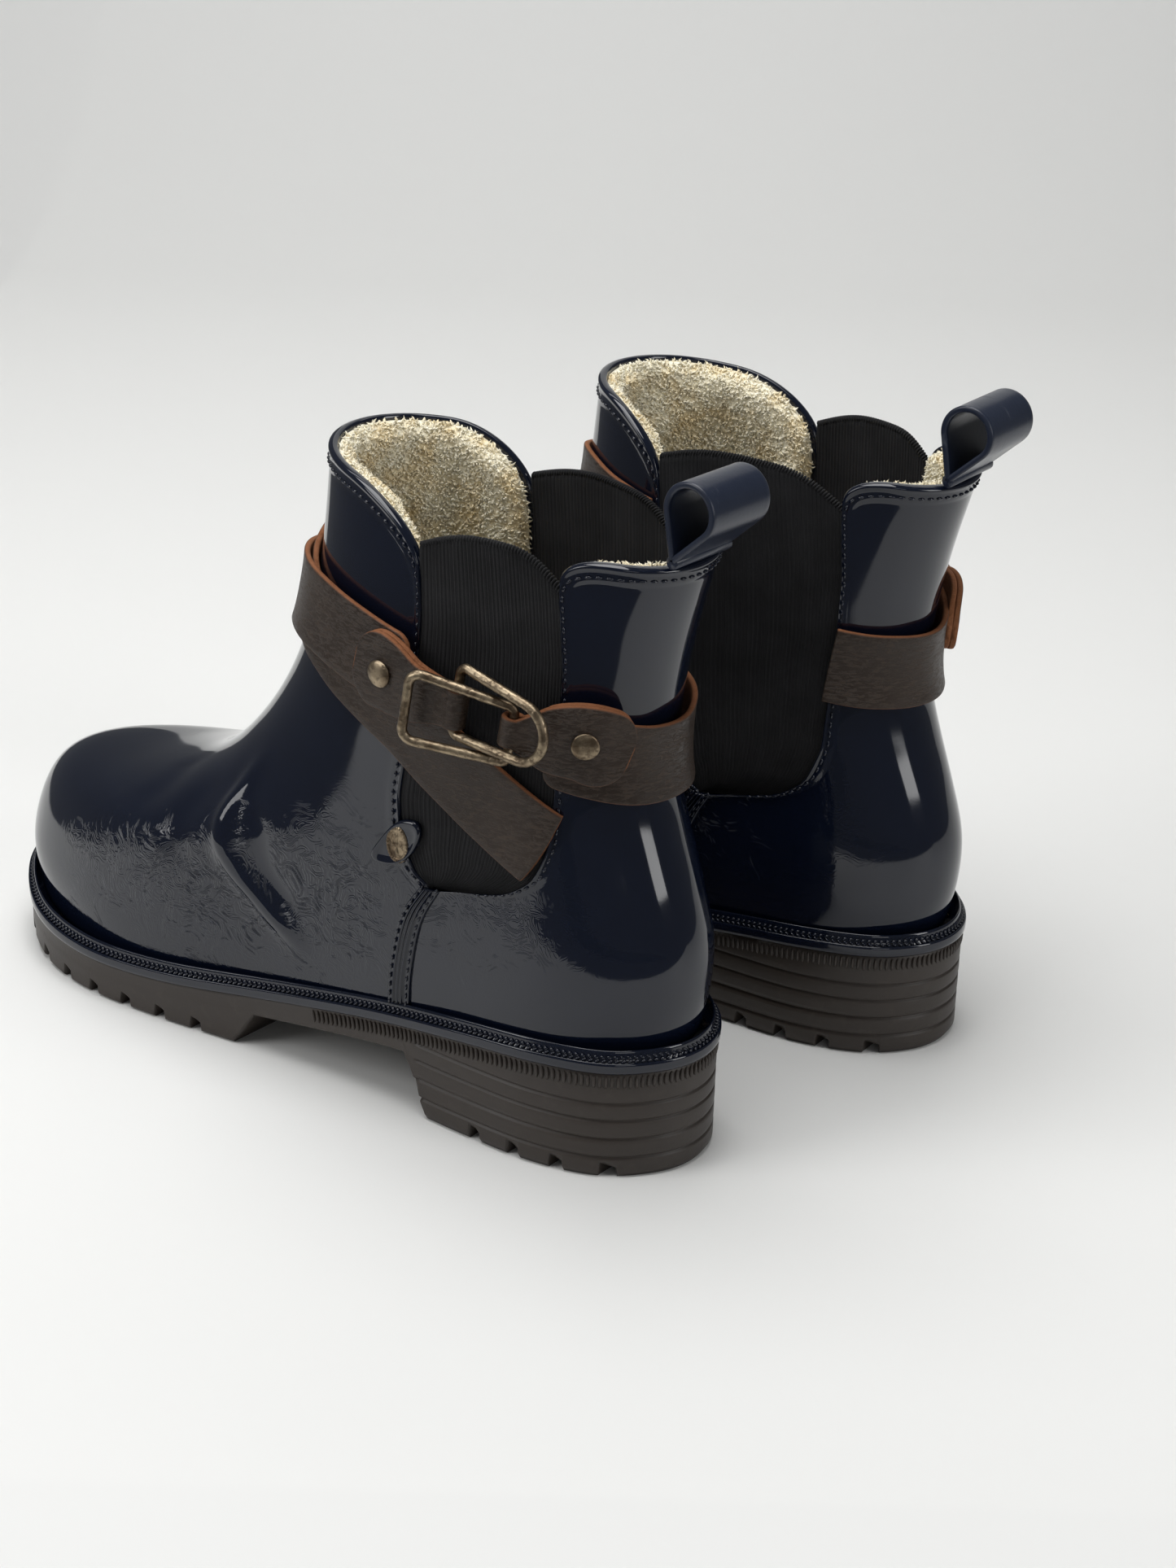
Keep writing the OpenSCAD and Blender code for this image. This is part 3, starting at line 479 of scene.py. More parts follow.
def along(rows, u):
    """The smooth curve through all rows, at stations u counted from 0."""
    rows = np.asarray(rows, float)
    u = np.asarray(u, float)
    n = len(rows)
    i = np.clip(np.floor(u).astype(int), 0, n - 2)
    first, last = i == 0, i == n - 2
    t = u - i
    if rows.ndim > 1:
        first, last, t = first[..., None], last[..., None], t[..., None]
    p1, p2 = rows[i], rows[i + 1]
    p0 = np.where(first, 2 * p1 - p2, rows[np.maximum(i - 1, 0)])
    p3 = np.where(last, 2 * p2 - p1, rows[np.minimum(i + 2, n - 1)])
    return smooth4(p0, p1, p2, p3, t)


def ease(t):
    t = np.clip(t, 0, 1)
    return t * t * (3 - 2 * t)


def mix(a, b, t):
    return a + (b - a) * t


def unit(v):
    return v / np.maximum(np.linalg.norm(v, axis=-1, keepdims=True), 1e-12)


def sole_top(x):
    """Height of the sole's top at x: level under the heel, down to the ball, up at the toe."""
    u = np.asarray(x, float) / SOLE_LENGTH
    return (FOREFOOT + (HEEL_SEAT - FOREFOOT) * (1 - ease((u - 0.07) / 0.68))
            + TOE_RISE * np.maximum(0, (u - 0.745) / 0.255) ** 2.4)


def ring_point(angle, level):
    """A point of the last straight from its rings."""
    angle, level = np.broadcast_arrays(np.asarray(angle, float) % 360, level)
    k, follow = along(LAST, level * 8), along(FOLLOW, level * 8)
    outer = angle <= 180
    q = np.radians(np.where(outer, angle, 360 - angle))
    w = np.where(outer[..., None], k[..., 4:9], k[..., 9:14])
    w = w / [0.5, 0.75 ** 0.5, 1, 0.75 ** 0.5, 0.5]     # the sines of 30 to 150 degrees
    halves = np.concatenate([1.02 * w[..., :1], w, 1.02 * w[..., 4:]], -1)
    i = np.clip(np.floor(np.degrees(q) / 30).astype(int), 0, 5)
    take = lambda j: np.take_along_axis(halves, np.clip(j, 0, 6)[..., None], -1)[..., 0]
    p1, p2 = take(i), take(i + 1)
    half = smooth4(np.where(i > 0, take(i - 1), 2 * p1 - p2), p1, p2,
                   np.where(i < 5, take(i + 2), 2 * p2 - p1), np.degrees(q) / 30 - i)
    share = (1 - np.cos(q)) / 2
    xb, xf = k[..., 0], k[..., 2]
    zb, zf = k[..., 1] + sole_top(xb), k[..., 3] + sole_top(xf)
    x = mix(xb, xf, share)
    y = np.where(outer, 1, -1) * half * np.sin(q)
    z = mix(zb, zf, share) + follow * (sole_top(x) - mix(sole_top(xb), sole_top(xf), share))
    return np.stack([x, y, z], -1)


# A fine table of the last, smoothed a little so that gloss shows no kink from ring to ring
STEP_A, LEVELS, REACH = 1.0, np.linspace(-0.09, 1.12, 243), 5
table = ring_point(np.arange(0, 360, STEP_A)[None, :], LEVELS[:, None])
kernel = np.exp(-0.5 * (np.arange(-3 * REACH, 3 * REACH + 1) / REACH) ** 2)
kernel /= kernel.sum()
for axis, beyond in ((1, "wrap"), (0, "edge")):
    wide = np.pad(table, [(3 * REACH,) * 2 if a == axis else (0, 0) for a in range(3)], mode=beyond)
    table = sum(k * np.take(wide, np.arange(i, i + table.shape[axis]), axis)
                for i, k in enumerate(kernel))


def skin(angle, level):
    """A point of the smoothed last, in millimetres."""
    angle, level = np.broadcast_arrays(np.asarray(angle, float), np.asarray(level, float))
    a = (angle % 360) / STEP_A
    v = np.clip((level - LEVELS[0]) / (LEVELS[1] - LEVELS[0]), 0, len(LEVELS) - 1.001)
    i, j = np.floor(a).astype(int), np.floor(v).astype(int)
    s, t = (a - i)[..., None], (v - j)[..., None]
    n = table.shape[1]
    near, far = i % n, (i + 1) % n
    return mix(mix(table[j, near], table[j, far], s),
               mix(table[j + 1, near], table[j + 1, far], s), t)


def slope_round(angle, level):
    return (skin(angle + 2, level) - skin(angle - 2, level)) / 4


def slope_up(angle, level):
    return (skin(angle, level + 0.01) - skin(angle, level - 0.01)) / 0.02


def outward(angle, level):
    return unit(np.cross(slope_up(angle, level), slope_round(angle, level)))


def off_skin(angle, level, distance):
    return skin(angle, level) + np.asarray(distance)[..., None] * outward(angle, level)


print("last from", np.round(table.min((0, 1)), 1), "to", np.round(table.max((0, 1)), 1), "mm")

# %% [markdown]
# ## From a boot's own frame to the pair's
# Both boots come from the same shapes. The right one is the mirror of the left, turned by four
# degrees and set beside it. A mirrored mesh is inside out, so every mesh gets its faces turned
# outwards after its doubles are merged.

# %% Standing a boot in its place, and making a mesh piece
RIGHT_TURN, RIGHT_BACK, RIGHT_APART = math.radians(4), 12.6, 112.6
MIDDLE_OF_PAIR = (-129.05, 53.3, 0)


def stand(side, points):
    """Points of a boot, in millimetres, at their place in the pair's frame, in metres."""
    p = np.asarray(points, float).reshape(-1, 3)
    if side == "right":
        c, s = math.cos(RIGHT_TURN), math.sin(RIGHT_TURN)
        x, y = p[:, 0], -p[:, 1]
        p = np.stack([c * x - s * y - RIGHT_BACK, s * x + c * y - RIGHT_APART, p[:, 2]], -1)
    return (p + MIDDLE_OF_PAIR) * MM


def faces_outward(mesh, weld=0):
    """Merges points closer than weld and turns every face outwards."""
    work = bmesh.new()
    work.from_mesh(mesh)
    if weld:
        bmesh.ops.remove_doubles(work, verts=work.verts, dist=weld)
    bmesh.ops.recalc_face_normals(work, faces=work.faces)
    work.to_mesh(mesh)
    work.free()


def piece(name, side, points, faces, material, slot, body="boot", stands_for=(), values=None,
          weld=0.00002):
    """A finished mesh that rides on a body and stands for some nodes."""
    mesh = bpy.data.meshes.new(f"{side}_{name}")
    mesh.from_pydata(stand(side, points).tolist(), [], faces)
    for key, value in (values or {}).items():
        value = np.asarray(value, np.float32)
        vector = value.ndim > 1
        layer = mesh.attributes.new(key, "FLOAT_VECTOR" if vector else "FLOAT", "POINT")
        layer.data.foreach_set("vector" if vector else "value", value.ravel())
    faces_outward(mesh, weld)
    shade_smooth(mesh)
    mesh.materials.append(material)
    obj = put(mesh.name, mesh)
    settle(obj, side, body, stands_for)
    return obj


def settle(obj, side, body, stands_for=()):
    """Says which body a piece rides on and which nodes it stands for."""
    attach(obj, f"{side}_{body}")
    if stands_for:
        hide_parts(*[f"{side}_{node}" for node in stands_for])


def grid_quads(rows, cols, start=0, wrap=False):
    """Faces of a grid of points; wrap joins the last column to the first."""
    r = np.arange(rows - 1)[:, None]
    c = np.arange(cols if wrap else cols - 1)[None, :]
    d = (c + 1) % cols
    a = start + r * cols
    return np.stack([a + c, a + d, a + cols + d, a + cols + c], -1).reshape(-1, 4)


def wall(outer, inner):
    """Points and faces of a closed wall between two grids of the same size."""
    rows, cols = outer.shape[:2]
    k = rows * cols
    front = grid_quads(rows, cols)
    faces = front.tolist() + (front[:, ::-1] + k).tolist()
    rim = (list(range(cols)) + [j * cols + cols - 1 for j in range(1, rows)]
           + [(rows - 1) * cols + i for i in range(cols - 2, -1, -1)]
           + [j * cols for j in range(rows - 2, 0, -1)])
    faces += [(b, a, a + k, b + k) for a, b in zip(rim, rim[1:] + rim[:1])]
    return np.concatenate([outer.reshape(-1, 3), inner.reshape(-1, 3)]), faces


def loft(rings, closed=False):
    """Points and faces of a solid through rings of points; ends are capped unless it is closed."""
    n, m = rings.shape[:2]
    faces = grid_quads(n, m, wrap=True).tolist()
    if closed:
        faces += [((n - 1) * m + i, (n - 1) * m + (i + 1) % m, (i + 1) % m, i) for i in range(m)]
    else:
        faces += [tuple(range(m)), tuple((n - 1) * m + i for i in range(m - 1, -1, -1))]
    return rings.reshape(-1, 3), faces


SIDES = ("left", "right")
print("left heel stands at", np.round(stand("left", [[0, 0, 0]])[0], 4).tolist())

# %% [markdown]
# ## One tree for everything that runs in rows
# Stitches, the welt's braid, the heel's ribs and the overlocked edge are all the same idea: a
# small rounded bead, repeated along a line. Geometry Nodes do that with one tree. The line
# comes in as a chain of edges whose points know which way is up. Its inputs are the pitch and
# the bead's length, width, height and skew. Realize Instances turns the beads into real mesh.

# %% A row of beads along a line
def tree_named(name, *inputs):
    """An empty tree with named inputs, and the identifier of each."""
    tree = bpy.data.node_groups.new(name, "GeometryNodeTree")
    sockets = {}
    tree.interface.new_socket("Geometry", in_out="INPUT", socket_type="NodeSocketGeometry")
    for title, kind, value in inputs:
        socket = tree.interface.new_socket(title, in_out="INPUT", socket_type="NodeSocket" + kind)
        if value is not None:
            socket.default_value = value
        sockets[title] = socket.identifier
    tree.interface.new_socket("Geometry", in_out="OUTPUT", socket_type="NodeSocketGeometry")
    return tree, sockets


def add(tree, kind, settings=None, **links):
    """A node whose named sockets are set to values or joined to other nodes' outputs."""
    node = tree.nodes.new(kind)
    for key, value in (settings or {}).items():
        setattr(node, key, value)
    for key, value in links.items():
        number = key[1:]     # _0 is the socket with that number
        socket = node.inputs[int(number) if number.isdigit() else key.replace("_", " ")]
        if isinstance(value, bpy.types.NodeSocket):
            tree.links.new(value, socket)
        else:
            socket.default_value = value
    return node


def bead_tree():
    tree, ids = tree_named("bead_row", ("Pitch", "Float", 0.003), ("Length", "Float", 0.002),
                           ("Width", "Float", 0.0006), ("Height", "Float", 0.0005),
                           ("Skew", "Float", 0.0), ("Finish", "Material", None))
    given = tree.nodes.new("NodeGroupInput").outputs
    line = add(tree, "GeometryNodeMeshToCurve", Mesh=given[0])
    even = add(tree, "GeometryNodeResampleCurve", {"mode": "LENGTH"}, Curve=line.outputs[0],
               Length=given["Pitch"])
    bead = add(tree, "GeometryNodeMeshUVSphere", Segments=8, Rings=5, Radius=0.5)
    size = add(tree, "ShaderNodeCombineXYZ", X=given["Length"], Y=given["Width"], Z=given["Height"])
    sized = add(tree, "GeometryNodeTransform", Geometry=bead.outputs[0], Scale=size.outputs[0])
    turn = add(tree, "ShaderNodeCombineXYZ", Z=given["Skew"])
    skewed = add(tree, "GeometryNodeTransform", Geometry=sized.outputs[0], Rotation=turn.outputs[0])
    run = tree.nodes.new("GeometryNodeInputTangent")
    rise = add(tree, "GeometryNodeInputNamedAttribute", {"data_type": "FLOAT_VECTOR"}, Name="rise")
    first = add(tree, "FunctionNodeAlignRotationToVector", {"axis": "X"}, Vector=run.outputs[0])
    second = add(tree, "FunctionNodeAlignRotationToVector", {"axis": "Z", "pivot_axis": "X"},
                 Rotation=first.outputs[0], Vector=rise.outputs[0])
    many = add(tree, "GeometryNodeInstanceOnPoints", Points=even.outputs[0],
               Instance=skewed.outputs[0], Rotation=second.outputs[0])
    real = add(tree, "GeometryNodeRealizeInstances", Geometry=many.outputs[0])
    done = add(tree, "GeometryNodeSetMaterial", Geometry=real.outputs[0], Material=given["Finish"])
    tree.links.new(done.outputs[0], tree.nodes.new("NodeGroupOutput").inputs[0])
    return tree, ids


BEADS, BEAD_IDS = bead_tree()


def grown(name, base, tree, ids, material, **sizes):
    """Runs a tree on a base mesh and returns its result as a plain mesh object at the origin."""
    carrier = put(name + "_base", base)
    modifier = carrier.modifiers.new("tree", "NODES")
    modifier.node_group = tree
    modifier[ids["Finish"]] = material
    for key, value in sizes.items():
        modifier[ids[key]] = value
    mesh = bpy.data.meshes.new_from_object(
        carrier.evaluated_get(bpy.context.evaluated_depsgraph_get()))
    mesh.name = name
    carrier.modifiers.remove(modifier)
    bpy.data.objects.remove(carrier)
    if not mesh.materials:
        mesh.materials.append(material)
    shade_smooth(mesh)
    return put(name, mesh)


def bead_rows(name, side, lines, material, pitch, length, width, height, skew=0.0,
              body="boot"):
    """Beads along lines; each line is (points, which way is up at each point, closed or not)."""
    base = bpy.data.meshes.new(name)
    points, rises, edges = [], [], []
    for path, rise, closed in lines:
        start, n = len(points), len(path)
        placed = stand(side, path)
        tips = stand(side, np.asarray(path) + rise)
        points += placed.tolist()
        rises += unit(tips - placed).tolist()
        edges += [(start + i, start + i + 1) for i in range(n - 1)]
        if closed:
            edges.append((start + n - 1, start))
    base.from_pydata(points, edges, [])
    layer = base.attributes.new("rise", "FLOAT_VECTOR", "POINT")
    layer.data.foreach_set("vector", np.asarray(rises, np.float32).ravel())
    obj = grown(f"{side}_{name}", base, BEADS, BEAD_IDS, material, Pitch=pitch * MM,
                Length=length * MM, Width=width * MM, Height=height * MM,
                Skew=skew if side == "left" else -skew)
    settle(obj, side, body)
    return obj


print("bead tree has", len(BEADS.nodes), "nodes")

# %% [markdown]
# ## The sole
# One rubber moulding: a block heel, a raised waist and a lugged forefoot. It is lofted along its
# length. Each section is one loop that goes up the outer wall, over, and down the inner wall.
# The loops are closest where the lugs' notches begin and end. The heel's four layers are shallow
# grooves in the wall, and the fine ribs under the welt are a row of beads.

# %% Outline and height of the sole
WELT = np.array([
    [0, 0], [4, 14], [16, 27], [36, 34], [62, 36], [100, 36.5], [140, 40], [180, 46.5],
    [212, 48.5], [240, 42], [262, 26], [273, 6], [275, -11], [270, -26], [255, -39],
    [228, -46.5], [195, -46], [150, -39.5], [105, -36], [62, -35], [36, -33], [16, -26], [4, -14]],
    float)


def outline(u, inset):
    """A point of the welt's edge; u goes once round from 0 to 23, and inset moves it inwards."""
    n = len(WELT)
    ring = np.concatenate([WELT[-2:], WELT, WELT[:3]])
    at = lambda w: along(ring, np.asarray(w, float) % n + 2)
    run = unit(at(np.asarray(u) + 0.25) - at(np.asarray(u) - 0.25))
    return at(u) + np.stack([run[..., 1], -run[..., 0]], -1) * np.asarray(inset)[..., None]


def even_stations(count):
    """Stations round the welt at even distances."""
    u = np.linspace(0, len(WELT), 1200)
    steps = np.linalg.norm(np.diff(outline(u, np.zeros(1200)), axis=0), axis=-1)
    length = np.concatenate([[0], np.cumsum(steps)])
    return np.interp(np.arange(count) * length[-1] / count, length, u), length[-1]


WAIST_START, WAIST_END, WAIST_THICK = HEEL_LENGTH + 6, SOLE_LENGTH * 0.52, 9
TOE_SPRING, BREAST_RISE, BREAST_ROUND, BALL_RAMP = 8, 8, 3, 8
NOTCH_WIDTH, NOTCH_DEPTH = 4.5, 4


def tread(x):
    """Height of the ground side of the sole at x, without its notches."""
    share = lambda start, length: np.clip((x - start) / length, 0, 1)
    spring = TOE_SPRING * ease((x / SOLE_LENGTH - 0.8) / 0.28)
    waist = sole_top(x) - WAIST_THICK * (1 - 0.25 * share(WAIST_START, WAIST_END - WAIST_START))
    z = np.where(x < WAIST_START,
                 mix(BREAST_RISE, waist, share(HEEL_LENGTH, WAIST_START - HEEL_LENGTH)), waist)
    z = np.where(x < HEEL_LENGTH,
                 BREAST_RISE * share(HEEL_LENGTH - BREAST_ROUND, BREAST_ROUND) ** 1.5, z)
    return np.where(x > WAIST_END, mix(waist, spring, share(WAIST_END, BALL_RAMP)), z)


heel_notches = np.arange(LUG_PITCH, HEEL_LENGTH - 8, LUG_PITCH)
ball_notches = np.arange(WAIST_END + BALL_RAMP + LUG_PITCH, SOLE_LENGTH - 8, LUG_PITCH)


def notched(x):
    """The tread with a slanted notch in front of each lug."""
    z = tread(x)
    for start in np.concatenate([heel_notches, ball_notches]):
        s = (x - start + NOTCH_WIDTH / 2) / NOTCH_WIDTH
        slant = np.clip(np.minimum(s * 12, 1) * (0.7 + 0.4 * s), 0, 1) * np.minimum(1, (1 - s) * 9)
        z = z + np.where((s >= 0) & (s <= 1), NOTCH_DEPTH * slant, 0)
    return z


# Sections: even steps, finer at the rounded ends and at every wall of a notch
ends = 1 - np.cos(np.linspace(0, math.pi / 2, 34))
xs = [0.05 + 30 * ends, 274.6 - 26 * ends, np.arange(30, 249, 2.5)]
for start in np.concatenate([heel_notches, ball_notches]):
    xs.append(start + np.array([-2.3, -2.24, -1.9, 0, 1.7, 2.2, 2.3]))
xs.append(HEEL_LENGTH + np.array([-3, -2, -1, 0, 6]))
xs.append(WAIST_END + np.array([0, 2, 5, 8]))
xs = np.unique(np.round(np.concatenate(xs), 2))
print(len(xs), "sections,", len(heel_notches), "heel notches,", len(ball_notches), "ball notches")

# %% Soles
WALL_SETBACK, STATIONS = 1.0, 520
GROOVES = (6.5, 12.5, 18.5, 24.0)     # heights of the lines between the heel's layers
u_fine = np.linspace(0, len(WELT), 2301)
foot_edge = outline(u_fine, np.full(len(u_fine), WALL_SETBACK))
tip = int(np.argmax(foot_edge[:, 0]))
u_out = np.interp(xs, foot_edge[:tip + 1, 0], u_fine[:tip + 1])
u_in = np.interp(-xs, -foot_edge[tip:, 0], u_fine[tip:])
u_out[0], u_in[0] = 0, len(WELT)
height = np.unique(np.round(np.concatenate([np.linspace(0, 1, 20)] + [
    np.array([g - 0.7, g - 0.3, g, g + 0.3, g + 0.7]) / HEEL_SEAT for g in GROOVES]), 4))


def wall_inset(z, x, base):
    """How far the wall stands back from the welt's edge, with its grooves."""
    inset = WALL_SETBACK + 1.2 * np.clip(1 - (z - base) / 1.2, 0, 1) ** 2
    for level in GROOVES:
        inset = inset + np.where(x < HEEL_LENGTH + 2, 0.75, 0) * np.exp(-((z - level) / 0.42) ** 2)
    rib = sole_top(x) - 2.6
    return inset + 0.35 * np.exp(-((z - rib) / 2.2) ** 4) * np.where(x < HEEL_LENGTH + 40, 1, 0.4)


def sole_rings():
    """One loop a section: up the outer wall and down the inner one."""
    low, high = notched(xs)[:, None], sole_top(xs)[:, None]
    even = low + (high - low) * height[None, :]
    layered = np.minimum(np.maximum(low, height[None, :] * HEEL_SEAT), high)   # layers run level
    layered[:, -1:] = high
    z = mix(layered, even, ease((xs[:, None] - HEEL_LENGTH - 2) / 5))
    sides = []
    for u, flip in ((u_out, False), (u_in, True)):
        inset = wall_inset(z, xs[:, None], low)
        xy = outline(np.repeat(u[:, None], z.shape[1], 1), inset)
        side = np.concatenate([xy, z[..., None]], -1)
        sides.append(side[:, ::-1] if flip else side)
    return np.concatenate(sides, 1)


RIB_INSET, RIB_DROP, RIBS_END = 1.15, 2.7, 120
sole_mesh = loft(sole_rings())
stations, round_welt = even_stations(STATIONS)
rib_line = outline(stations, np.full(STATIONS, RIB_INSET))
near_heel = rib_line[:, 0] < RIBS_END
path = np.column_stack([rib_line, sole_top(rib_line[:, 0]) - RIB_DROP])
run = unit(np.roll(path, -1, 0) - np.roll(path, 1, 0))
rise = np.cross(run, (0, 0, 1.0))
order = np.roll(np.arange(STATIONS), -int(np.argmin(near_heel)))
chain = [i for i in order if near_heel[i]]
for side in SIDES:
    sole = piece("sole_block", side, *sole_mesh, brown_rubber, "sole_rubber",
                 stands_for=("outsole",))
    bead_rows("heel_ribs", side, [(path[chain], rise[chain], False)], brown_rubber,
              pitch=1.75, length=1.15, width=4.4, height=1.3)
print("sole of", len(sole.data.polygons), "faces a boot")

# %% [markdown]
# ## The welt
# The navy rand runs round the top of the sole. Its lip has two rounded ridges with a braided
# stitch in the channel between them. The ridges are one profile, carried once round the outline,
# and the braid is two rows of beads with opposite skews.

# %% Welt profile and braid
WELT_PROFILE = [     # (distance inside the edge, height)
    (0.35, 0.0), (0.05, 0.4), (0, 1.2), (0, 2.6), (0.1, 3.2), (0.4, 3.5), (0.7, 3.35), (0.9, 3.0),
    (1.2, 3.2), (1.55, 4.1), (1.8, 5.0), (1.9, 5.7), (2.05, 6.3), (2.3, 6.6), (2.55, 6.5),
    (2.7, 6.1), (2.8, 4.5), (3.2, 2.2), (9.0, 2.0), (9.0, 0.0)]
WELT_GAP = 0.3     # over the sole's top


def welt_line(inset, rise):
    """A line round the welt, at a distance inside its edge and over the sole's top."""
    xy = outline(stations, np.full(STATIONS, float(inset)))
    return np.column_stack([xy, sole_top(xy[:, 0]) + WELT_GAP + rise])


welt_mesh = loft(np.stack([welt_line(*spot) for spot in WELT_PROFILE], 1), closed=True)
edge_out = unit(welt_line(0, 0)[:, :2] - welt_line(2, 0)[:, :2])
braid_rise = unit(np.column_stack([edge_out, np.full(STATIONS, 0.6)]))
for side in SIDES:
    piece("welt_rand", side, *welt_mesh, navy_gloss, "gloss_navy", stands_for=("welt",),
          values={"flow": np.zeros(len(welt_mesh[0]))})
    for label, inset, climb, skew in (("outer", 1.15, 3.75, 0.6), ("inner", 1.55, 4.75, -0.6)):
        bead_rows(f"welt_braid_{label}", side, [(welt_line(inset, climb), braid_rise, True)],
                  navy_gloss, pitch=1.9, length=1.8, width=0.85, height=0.9,
                  skew=skew)
print("welt", round(round_welt), "mm round")

# %% [markdown]
# ## Front and back panels
# The shell is two panels that meet in a side seam under the gores. Each panel is a grid on the
# last, in its own coordinates: s across and t up. Columns and rows crowd towards the edges,
# where the moulding has its bead: a rounded rim, a flat band for the stitches and a soft step.
# The height of that relief depends only on the distance from the edge.

# %% Where the panels' edges run
SEAM, GORE_FOOT, HALF_GAP = 67.5, 0.35, 0.2     # degrees, level, degrees
FRONT_EDGE = {1: [(0, SEAM), (GORE_FOOT, SEAM), (0.37, 71), (0.46, 78), (0.57, 84), (0.68, 87),
                  (0.86, 91), (0.95, 95), (1.02, 98)],
              -1: [(0, SEAM), (GORE_FOOT, SEAM), (0.37, 71), (0.46, 79), (0.57, 87), (0.68, 94),
                   (0.86, 105), (0.95, 110), (1.02, 113)]}
REAR_EDGE = [(0, SEAM), (GORE_FOOT - 0.005, SEAM), (0.36, 59), (0.38, 53), (0.43, 47),
             (0.52, 42.5), (0.62, 41), (0.74, 41.5), (0.85, 45), (0.93, 50), (1.02, 56)]


def edge_angle(level, stops):
    """Angle of an edge at a level, with its corners eased over a short stretch."""
    reach = np.linspace(-0.012, 0.012, 7)
    xs_, ys_ = zip(*stops)
    return np.mean([np.interp(level + r, xs_, ys_) for r in reach], 0)


def shoulder(s, reach):
    """A quarter of an ellipse that rounds off a top corner: 0 inside, 1 at the edge."""
    k = np.clip(1 - np.minimum(s, 1 - s) / reach, 0, 1)
    return 1 - np.sqrt(np.maximum(0, 1 - k ** 2.2))


def front_place(s, t, top=1.0, trim=0.0):
    """Angle and level of a place on the front panel; trim draws its sides in, in degrees."""
    level = t * (top - 0.075 * shoulder(s, 0.2))
    a0 = edge_angle(level, FRONT_EDGE[1]) + HALF_GAP + trim
    a1 = 360 - edge_angle(level, FRONT_EDGE[-1]) - HALF_GAP - trim
    return mix(a0, a1, s), level


def back_place(s, t, top=1.02, trim=0.0):
    level = t * (top - 0.05 * shoulder(s, 0.2))
    a = edge_angle(level, REAR_EDGE) - HALF_GAP - trim
    return mix(-a, a, s) + 360, level


def edge_distances(place, s, t):
    """Distance in mm from each grid point to the panel's nearer side and to its top."""
    ss, tt = np.meshgrid(s, t)
    points = skin(*place(ss, tt))
    steps = np.linalg.norm(np.diff(points, axis=1), axis=-1)
    left = np.concatenate([np.zeros((len(t), 1)), np.cumsum(steps, 1)], 1)
    right_ = left[:, -1:] - left
    ups = np.linalg.norm(np.diff(points, axis=0), axis=-1)
    below = np.concatenate([np.zeros((1, len(s))), np.cumsum(ups, 0)], 0)
    top_line = points[-1]
    run = np.gradient(top_line, axis=0)
    climb = np.abs(run[:, 2]) / np.maximum(np.linalg.norm(run, axis=-1), 1e-9)
    top_ = (below[-1:] - below) * np.sqrt(np.maximum(0.05, 1 - climb ** 2))[None, :]
    return np.minimum(left, right_), top_


BEAD_TOP, BEAD_AT, BAND_HIGH, BAND_WIDE = 0.75, 1.0, 0.32, 4.6


def bead(e):
    """Relief of a panel's edge at a distance e from it."""
    rim = BEAD_TOP * np.sqrt(np.clip(1 - ((e - BEAD_AT) / BEAD_AT) ** 2, 0, 1))
    rim = rim - 0.55 * np.exp(-(e / 0.3) ** 2)
    band = (BEAD_TOP - BAND_HIGH) * np.exp(-((e - BEAD_AT) / 0.75) ** 2)
    return np.where(e > BEAD_AT, band + BAND_HIGH * (1 - ease((e - BAND_WIDE) / 1.3)), rim)


# distances from an edge, in millimetres, where its relief needs a station
close = np.array([0, 0.12, 0.3, 0.55, 0.85, 1.2, 1.6, 2.1, 2.7, 3.4, 4.2, 4.8, 5.3, 5.9, 6.8, 8])


def spaced(length, step, both=True):
    """Shares from 0 to 1 with close stations at the far end, or at both ends."""
    inner = np.arange(8 + step, length - 8, step) if both else np.arange(0, length - 8, step)
    parts = [close, inner, length - close[::-1]] if both else [inner, length - close[::-1]]
    return np.unique(np.concatenate(parts)) / length


print("relief at 0, 1, 3 and 7 mm:", np.round(bead(np.array([0.0, 1, 3, 7])), 2))

# %% [markdown]
# ## The fold on the foot's side
# Where the moulding bends from foot to ankle, a soft ridge runs down the outer side of the foot
# like a pulled fold. It is a line of places on the last, and the surface lifts near it. The
# instep has a few shallow hollows beside the fold, so the gloss breaks up there as it should.

# %% Folds of the shell
# each fold: the (angle, level) places of its line, its height and its half width
FOLDS = [
    ([(127.5, .596), (129, .544), (123.5, .476), (116.5, .408), (109.5, .348), (102, .284),
      (97.5, .244), (94, .216), (90.5, .184), (87.5, .156), (85.5, .124), (84.5, .084)], 2.3, 3.6),
    ([(118, .50), (111, .43), (103, .36), (97, .30), (92.5, .25), (88, .205), (84, .16)],
     -1.3, 5.0),
    ([(134, .50), (127, .41), (119, .34), (111, .27), (104, .21)], -0.8, 6.0),
    ([(165, .47), (150, .435), (138, .38), (131, .31)], -0.7, 7.0)]


def nearest(points, line):
    """Distance from points to a chain of points, and the share of the way along it."""
    best, share = np.full(points.shape[:-1], 1e9), np.zeros(points.shape[:-1])
    for i in range(len(line) - 1):
        a, b = line[i], line[i + 1]
        t = np.clip(((points - a) @ (b - a)) / ((b - a) @ (b - a)), 0, 1)
        d = np.linalg.norm(points - (a + t[..., None] * (b - a)), axis=-1)
        share = np.where(d < best, (i + t) / (len(line) - 1), share)
        best = np.minimum(best, d)
    return best, share


